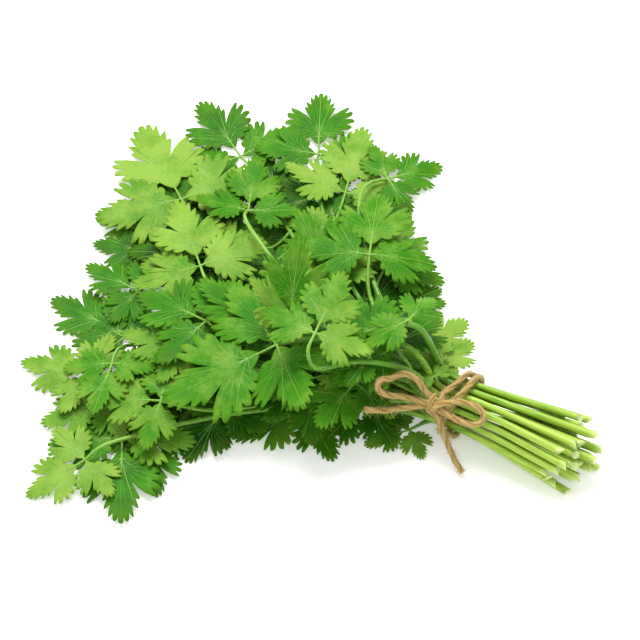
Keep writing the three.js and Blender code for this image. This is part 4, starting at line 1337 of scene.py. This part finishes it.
jute = bpy.data.materials.new("twisted_jute_fibre")
jute.use_nodes = True
tree = jute.node_tree
tree.nodes.clear()
ridge = add(tree, "ShaderNodeAttribute", attribute_name="ridge").outputs["Fac"]
run = add(tree, "ShaderNodeAttribute", attribute_name="run").outputs["Fac"]
turned = add(tree, "ShaderNodeAttribute", attribute_name="turned").outputs["Fac"]
long_way = add(tree, "ShaderNodeMath", {0: run, 1: 1 / FIBRE_LENGTH}, operation="MULTIPLY")
cross_way = add(tree, "ShaderNodeMath", {0: turned, 1: FIBRES_ROUND}, operation="MULTIPLY")
plan = add(tree, "ShaderNodeCombineXYZ", {0: long_way.outputs[0], 1: cross_way.outputs[0]})
fibre = add(tree, "ShaderNodeTexNoise", {
    "Vector": plan.outputs[0], "Scale": 1, "Detail": 4, "Roughness": 0.7}).outputs["Fac"]

# Painted shade in the grooves between the strands, with lighter and darker fibres.
groove = add(tree, "ShaderNodeMapRange", {0: ridge, 1: 0.02, 2: 0.6, 3: 0.18, 4: 0.62})
light = add(tree, "ShaderNodeMapRange", {0: fibre, 1: 0.3, 2: 0.7, 3: -0.4, 4: 0.4})
both = add(tree, "ShaderNodeMath", {0: groove.outputs[0], 1: light.outputs[0]}, operation="ADD")
ramp = add(tree, "ShaderNodeValToRGB", {0: both.outputs[0]})
ramp.color_ramp.elements[0].color = linear(DARK_FIBRE_AND_GROOVE_SHADE)
ramp.color_ramp.elements[1].color = linear(PALE_JUTE)
ramp.color_ramp.elements.new(0.5).color = linear(JUTE_YELLOW)
rough = add(tree, "ShaderNodeMath", {0: both.outputs[0], 1: ridge}, operation="ADD")
bump = add(tree, "ShaderNodeBump",
           {"Strength": 0.6, "Distance": 0.25 * MM, "Height": rough.outputs[0]})
straw = add(tree, "ShaderNodeBsdfPrincipled", {
    "Base Color": ramp.outputs[0], "Roughness": 0.85, "IOR": 1.45, "Normal": bump.outputs[0],
    "Sheen Weight": 0.25, "Sheen Roughness": 0.5})
add(tree, "ShaderNodeOutputMaterial", {0: straw.outputs[0]})
print("jute material:", len(tree.nodes), "nodes")

# %% [markdown]
# ## The twisted string
# A three-lobed profile is swept along the path. The curve's tilt grows with its length, which
# winds the lobes round each other like strands. That is far lighter than three separate strands,
# and it leaves no gaps between them.

# %% The string tree: a path whose tilt grows
string_tree = new_tree("twisted_string", Radius="Float", Pitch="Float", Groove="Float",
                       Material="Material")
given = add(string_tree, "NodeGroupInput").outputs
line = add(string_tree, "GeometryNodeMeshToCurve", {0: given["Geometry"]})
length = add(string_tree, "GeometryNodeSplineParameter").outputs["Length"]
turns = add(string_tree, "ShaderNodeMath", {0: length, 1: given["Pitch"]}, operation="DIVIDE")
tilt = add(string_tree, "ShaderNodeMath", {0: turns.outputs[0], 1: 2 * math.pi},
           operation="MULTIPLY")
wound = add(string_tree, "GeometryNodeSetCurveTilt",
            {"Curve": line.outputs[0], "Tilt": tilt.outputs[0]})
wound = add(string_tree, "GeometryNodeStoreNamedAttribute",
            {0: wound.outputs[0], "Name": "run", "Value": length}, data_type="FLOAT")
print("string tree:", len(string_tree.nodes), "nodes to wind the path")

# %% The string tree: a lobed profile along the path
PROFILE_POINTS, LOBES = 21, 3

# The profile is a circle that is drawn in to a groove between each two lobes, the strands.
circle = add(string_tree, "GeometryNodeCurvePrimitiveCircle",
             {"Resolution": PROFILE_POINTS, "Radius": 1.0})
index = add(string_tree, "GeometryNodeInputIndex").outputs[0]
angle = add(string_tree, "ShaderNodeMath", {0: index, 1: math.pi * LOBES / PROFILE_POINTS},
            operation="MULTIPLY")
wave = add(string_tree, "ShaderNodeMath", {0: angle.outputs[0]}, operation="COSINE")
lobe = add(string_tree, "ShaderNodeMath", {0: wave.outputs[0]}, operation="ABSOLUTE").outputs[0]
hollow = add(string_tree, "ShaderNodeMath", {0: 1, 1: lobe}, operation="SUBTRACT")
depth = add(string_tree, "ShaderNodeMath", {0: hollow.outputs[0], 1: given["Groove"]},
            operation="MULTIPLY")
scale = add(string_tree, "ShaderNodeMath", {0: 1, 1: depth.outputs[0]}, operation="SUBTRACT")
position = add(string_tree, "GeometryNodeInputPosition").outputs[0]
lobed = add(string_tree, "ShaderNodeVectorMath", {0: position, 3: scale.outputs[0]},
            operation="SCALE")
profile = add(string_tree, "GeometryNodeStoreNamedAttribute",
              {0: circle.outputs[0], "Name": "ridge", "Value": lobe}, data_type="FLOAT")
part = add(string_tree, "ShaderNodeMath", {0: index, 1: PROFILE_POINTS}, operation="DIVIDE")
profile = add(string_tree, "GeometryNodeStoreNamedAttribute",
              {0: profile.outputs[0], "Name": "turned", "Value": part.outputs[0]},
              data_type="FLOAT")
profile = add(string_tree, "GeometryNodeSetPosition",
              {0: profile.outputs[0], "Position": lobed.outputs[0]})

swept = add(string_tree, "GeometryNodeCurveToMesh", {
    "Curve": wound.outputs[0], "Profile Curve": profile.outputs[0], "Scale": given["Radius"],
    "Fill Caps": True})
real = add(string_tree, "GeometryNodeRealizeInstances", {0: swept.outputs[0]})
painted = add(string_tree, "GeometryNodeSetMaterial",
              {0: real.outputs[0], "Material": given["Material"]})
add(string_tree, "NodeGroupOutput", {0: painted.outputs[0]})
print("the whole string tree:", len(string_tree.nodes), "nodes")

# %% Sweep the string along its path
STRAND_PITCH, STRAND_GROOVE = 24 * MM, 0.18
plan = bpy.data.meshes.new("twine_plan")
plan.from_pydata(twine_path, [(k, k + 1) for k in range(len(twine_path) - 1)], [])
twine = run_tree(string_tree, plan, "jute_twine", Radius=TWINE_RADIUS * MM, Pitch=STRAND_PITCH,
                 Groove=STRAND_GROOVE, Material=jute)
twine.data.shade_smooth()
print("twine faces:", len(twine.data.polygons))

# %% [markdown]
# ## Loose fibres
# Short fibres stand off the string and give it its fuzzy edge. A tree scatters points over the
# string with a fixed seed and puts a small bent hair on each one, leaning at random.

# %% One hair
HAIR_LENGTH, HAIR_RADIUS, HAIR_BEND = 3 * MM, 0.09 * MM, 1.3 * MM
HAIR_RINGS, HAIR_SIDES = 4, 3


def hair_mesh():
    """A bent cone: rings that get smaller, then one point, which is the last vertex."""
    points, faces = [], []
    for k in range(HAIR_RINGS):
        t = k / HAIR_RINGS
        for side in range(HAIR_SIDES):
            a = 2 * math.pi * side / HAIR_SIDES
            points.append((HAIR_RADIUS * (1 - t) * math.cos(a) + HAIR_BEND * t * t,
                           HAIR_RADIUS * (1 - t) * math.sin(a), HAIR_LENGTH * t))
    points.append((HAIR_BEND, 0, HAIR_LENGTH))
    top_ring = HAIR_SIDES * (HAIR_RINGS - 1)
    for first in range(0, top_ring, HAIR_SIDES):
        for side in range(HAIR_SIDES):
            here, after = first + side, first + (side + 1) % HAIR_SIDES
            faces.append((here, after, after + HAIR_SIDES, here + HAIR_SIDES))
    faces += [(top_ring + side, top_ring + (side + 1) % HAIR_SIDES, top_ring + HAIR_SIDES)
              for side in range(HAIR_SIDES)]
    faces.append(tuple(reversed(range(HAIR_SIDES))))
    mesh = bpy.data.meshes.new("hair")
    mesh.from_pydata(points, [], faces)
    return mesh


hair = bpy.data.objects.new("hair", hair_mesh())
print("faces of a hair:", len(hair.data.polygons))

# %% The tree that scatters the hairs
HAIRS_PER_SQUARE_METRE, HAIR_SEED = 9e5, 7
HAIR_STRAY, SHORTEST_HAIR = 0.9, 0.35
HAIR_OFF_TABLE = 0.05 * MM
fuzz_tree = new_tree("loose_fibres", Hair="Object", Density="Float", Seed="Int",
                     Material="Material")
given = add(fuzz_tree, "NodeGroupInput").outputs
spots = add(fuzz_tree, "GeometryNodeDistributePointsOnFaces", {
    "Mesh": given["Geometry"], "Density": given["Density"], "Seed": given["Seed"]}).outputs

# A hair leans away from straight out by a random amount, and is scaled by another.
stray = add(fuzz_tree, "FunctionNodeRandomValue",
            {0: (-HAIR_STRAY,) * 3, 1: (HAIR_STRAY,) * 3, 8: given["Seed"]},
            data_type="FLOAT_VECTOR")
leaning = add(fuzz_tree, "ShaderNodeVectorMath", {0: spots["Normal"], 1: stray.outputs[0]},
              operation="ADD")
turn = add(fuzz_tree, "FunctionNodeAlignRotationToVector", {"Vector": leaning.outputs[0]},
           axis="Z")
long = add(fuzz_tree, "FunctionNodeRandomValue", {2: SHORTEST_HAIR, 3: 1.0, 8: given["Seed"]},
           data_type="FLOAT")
shape = add(fuzz_tree, "GeometryNodeObjectInfo", {"Object": given["Hair"]}).outputs["Geometry"]
hairs = add(fuzz_tree, "GeometryNodeInstanceOnPoints", {
    "Points": spots["Points"], "Instance": shape, "Rotation": turn.outputs[0],
    "Scale": long.outputs[1]})
real = add(fuzz_tree, "GeometryNodeRealizeInstances", {0: hairs.outputs[0]})
position = add(fuzz_tree, "GeometryNodeInputPosition").outputs[0]
spot = pressed_flat(fuzz_tree, position, HAIR_OFF_TABLE)
rested = add(fuzz_tree, "GeometryNodeSetPosition", {0: real.outputs[0], "Position": spot})
painted = add(fuzz_tree, "GeometryNodeSetMaterial",
              {0: rested.outputs[0], "Material": given["Material"]})
add(fuzz_tree, "NodeGroupOutput", {0: painted.outputs[0]})
fibres = run_tree(fuzz_tree, twine.data.copy(), "jute_fibres", Hair=hair,
                  Density=HAIRS_PER_SQUARE_METRE, Seed=HAIR_SEED, Material=jute)
print("fibre faces:", len(fibres.data.polygons))

for piece in (twine, fibres):
    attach(piece, "root")
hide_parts("twine")
print("twine declared")

# %% [markdown]
# ## The table and the light
# The bunch lies on a white table that is lit a little from below, so its shadows stay pale. One
# large softbox stands over the leaf side and a white room fills in the rest. The table is a stage
# piece: it is seen in the picture and isn't part of the object.

# %% The table
FLOOR = 6
ground = bpy.data.meshes.new("floor")
ground.from_pydata([(x * FLOOR, y * FLOOR, 0) for x, y in ((-1, -1), (1, -1), (1, 1), (-1, 1))], [],
                   [(0, 1, 2, 3)])
floor = bpy.data.objects.new("floor", ground)
bpy.context.collection.objects.link(floor)
acrylic = bpy.data.materials.new("backlit_white_acrylic")
acrylic.use_nodes = True
sheet = acrylic.node_tree.nodes["Principled BSDF"].inputs
sheet["Base Color"].default_value = linear("#F6F6F4")
sheet["Roughness"].default_value = 0.9
sheet["Emission Color"].default_value = (1, 1, 1, 1)
sheet["Emission Strength"].default_value = 0.3
ground.materials.append(acrylic)
print("table:", 2 * FLOOR, "m wide")

# %% The lights
ROOM_STRENGTH = 0.85
KEY_PLACE, KEY_AIM = Vector((-0.55, 0.6, 1.5)), Vector((-0.05, 0, 0))
KEY_SIZE, KEY_POWER = 0.9, 31

world = bpy.data.worlds.new("soft_white_room")
bpy.context.scene.world = world
world.use_nodes = True
world.node_tree.nodes["Background"].inputs["Color"].default_value = (1, 1, 1, 1)
world.node_tree.nodes["Background"].inputs["Strength"].default_value = ROOM_STRENGTH

softbox = bpy.data.lights.new("key_softbox", "AREA")
softbox.size, softbox.energy = KEY_SIZE, KEY_POWER
holder = bpy.data.objects.new("key_softbox", softbox)
holder.location = KEY_PLACE
holder.rotation_euler = (KEY_PLACE - KEY_AIM).to_track_quat("Z", "Y").to_euler()
bpy.context.collection.objects.link(holder)
bpy.context.scene.view_settings.view_transform = "Standard"
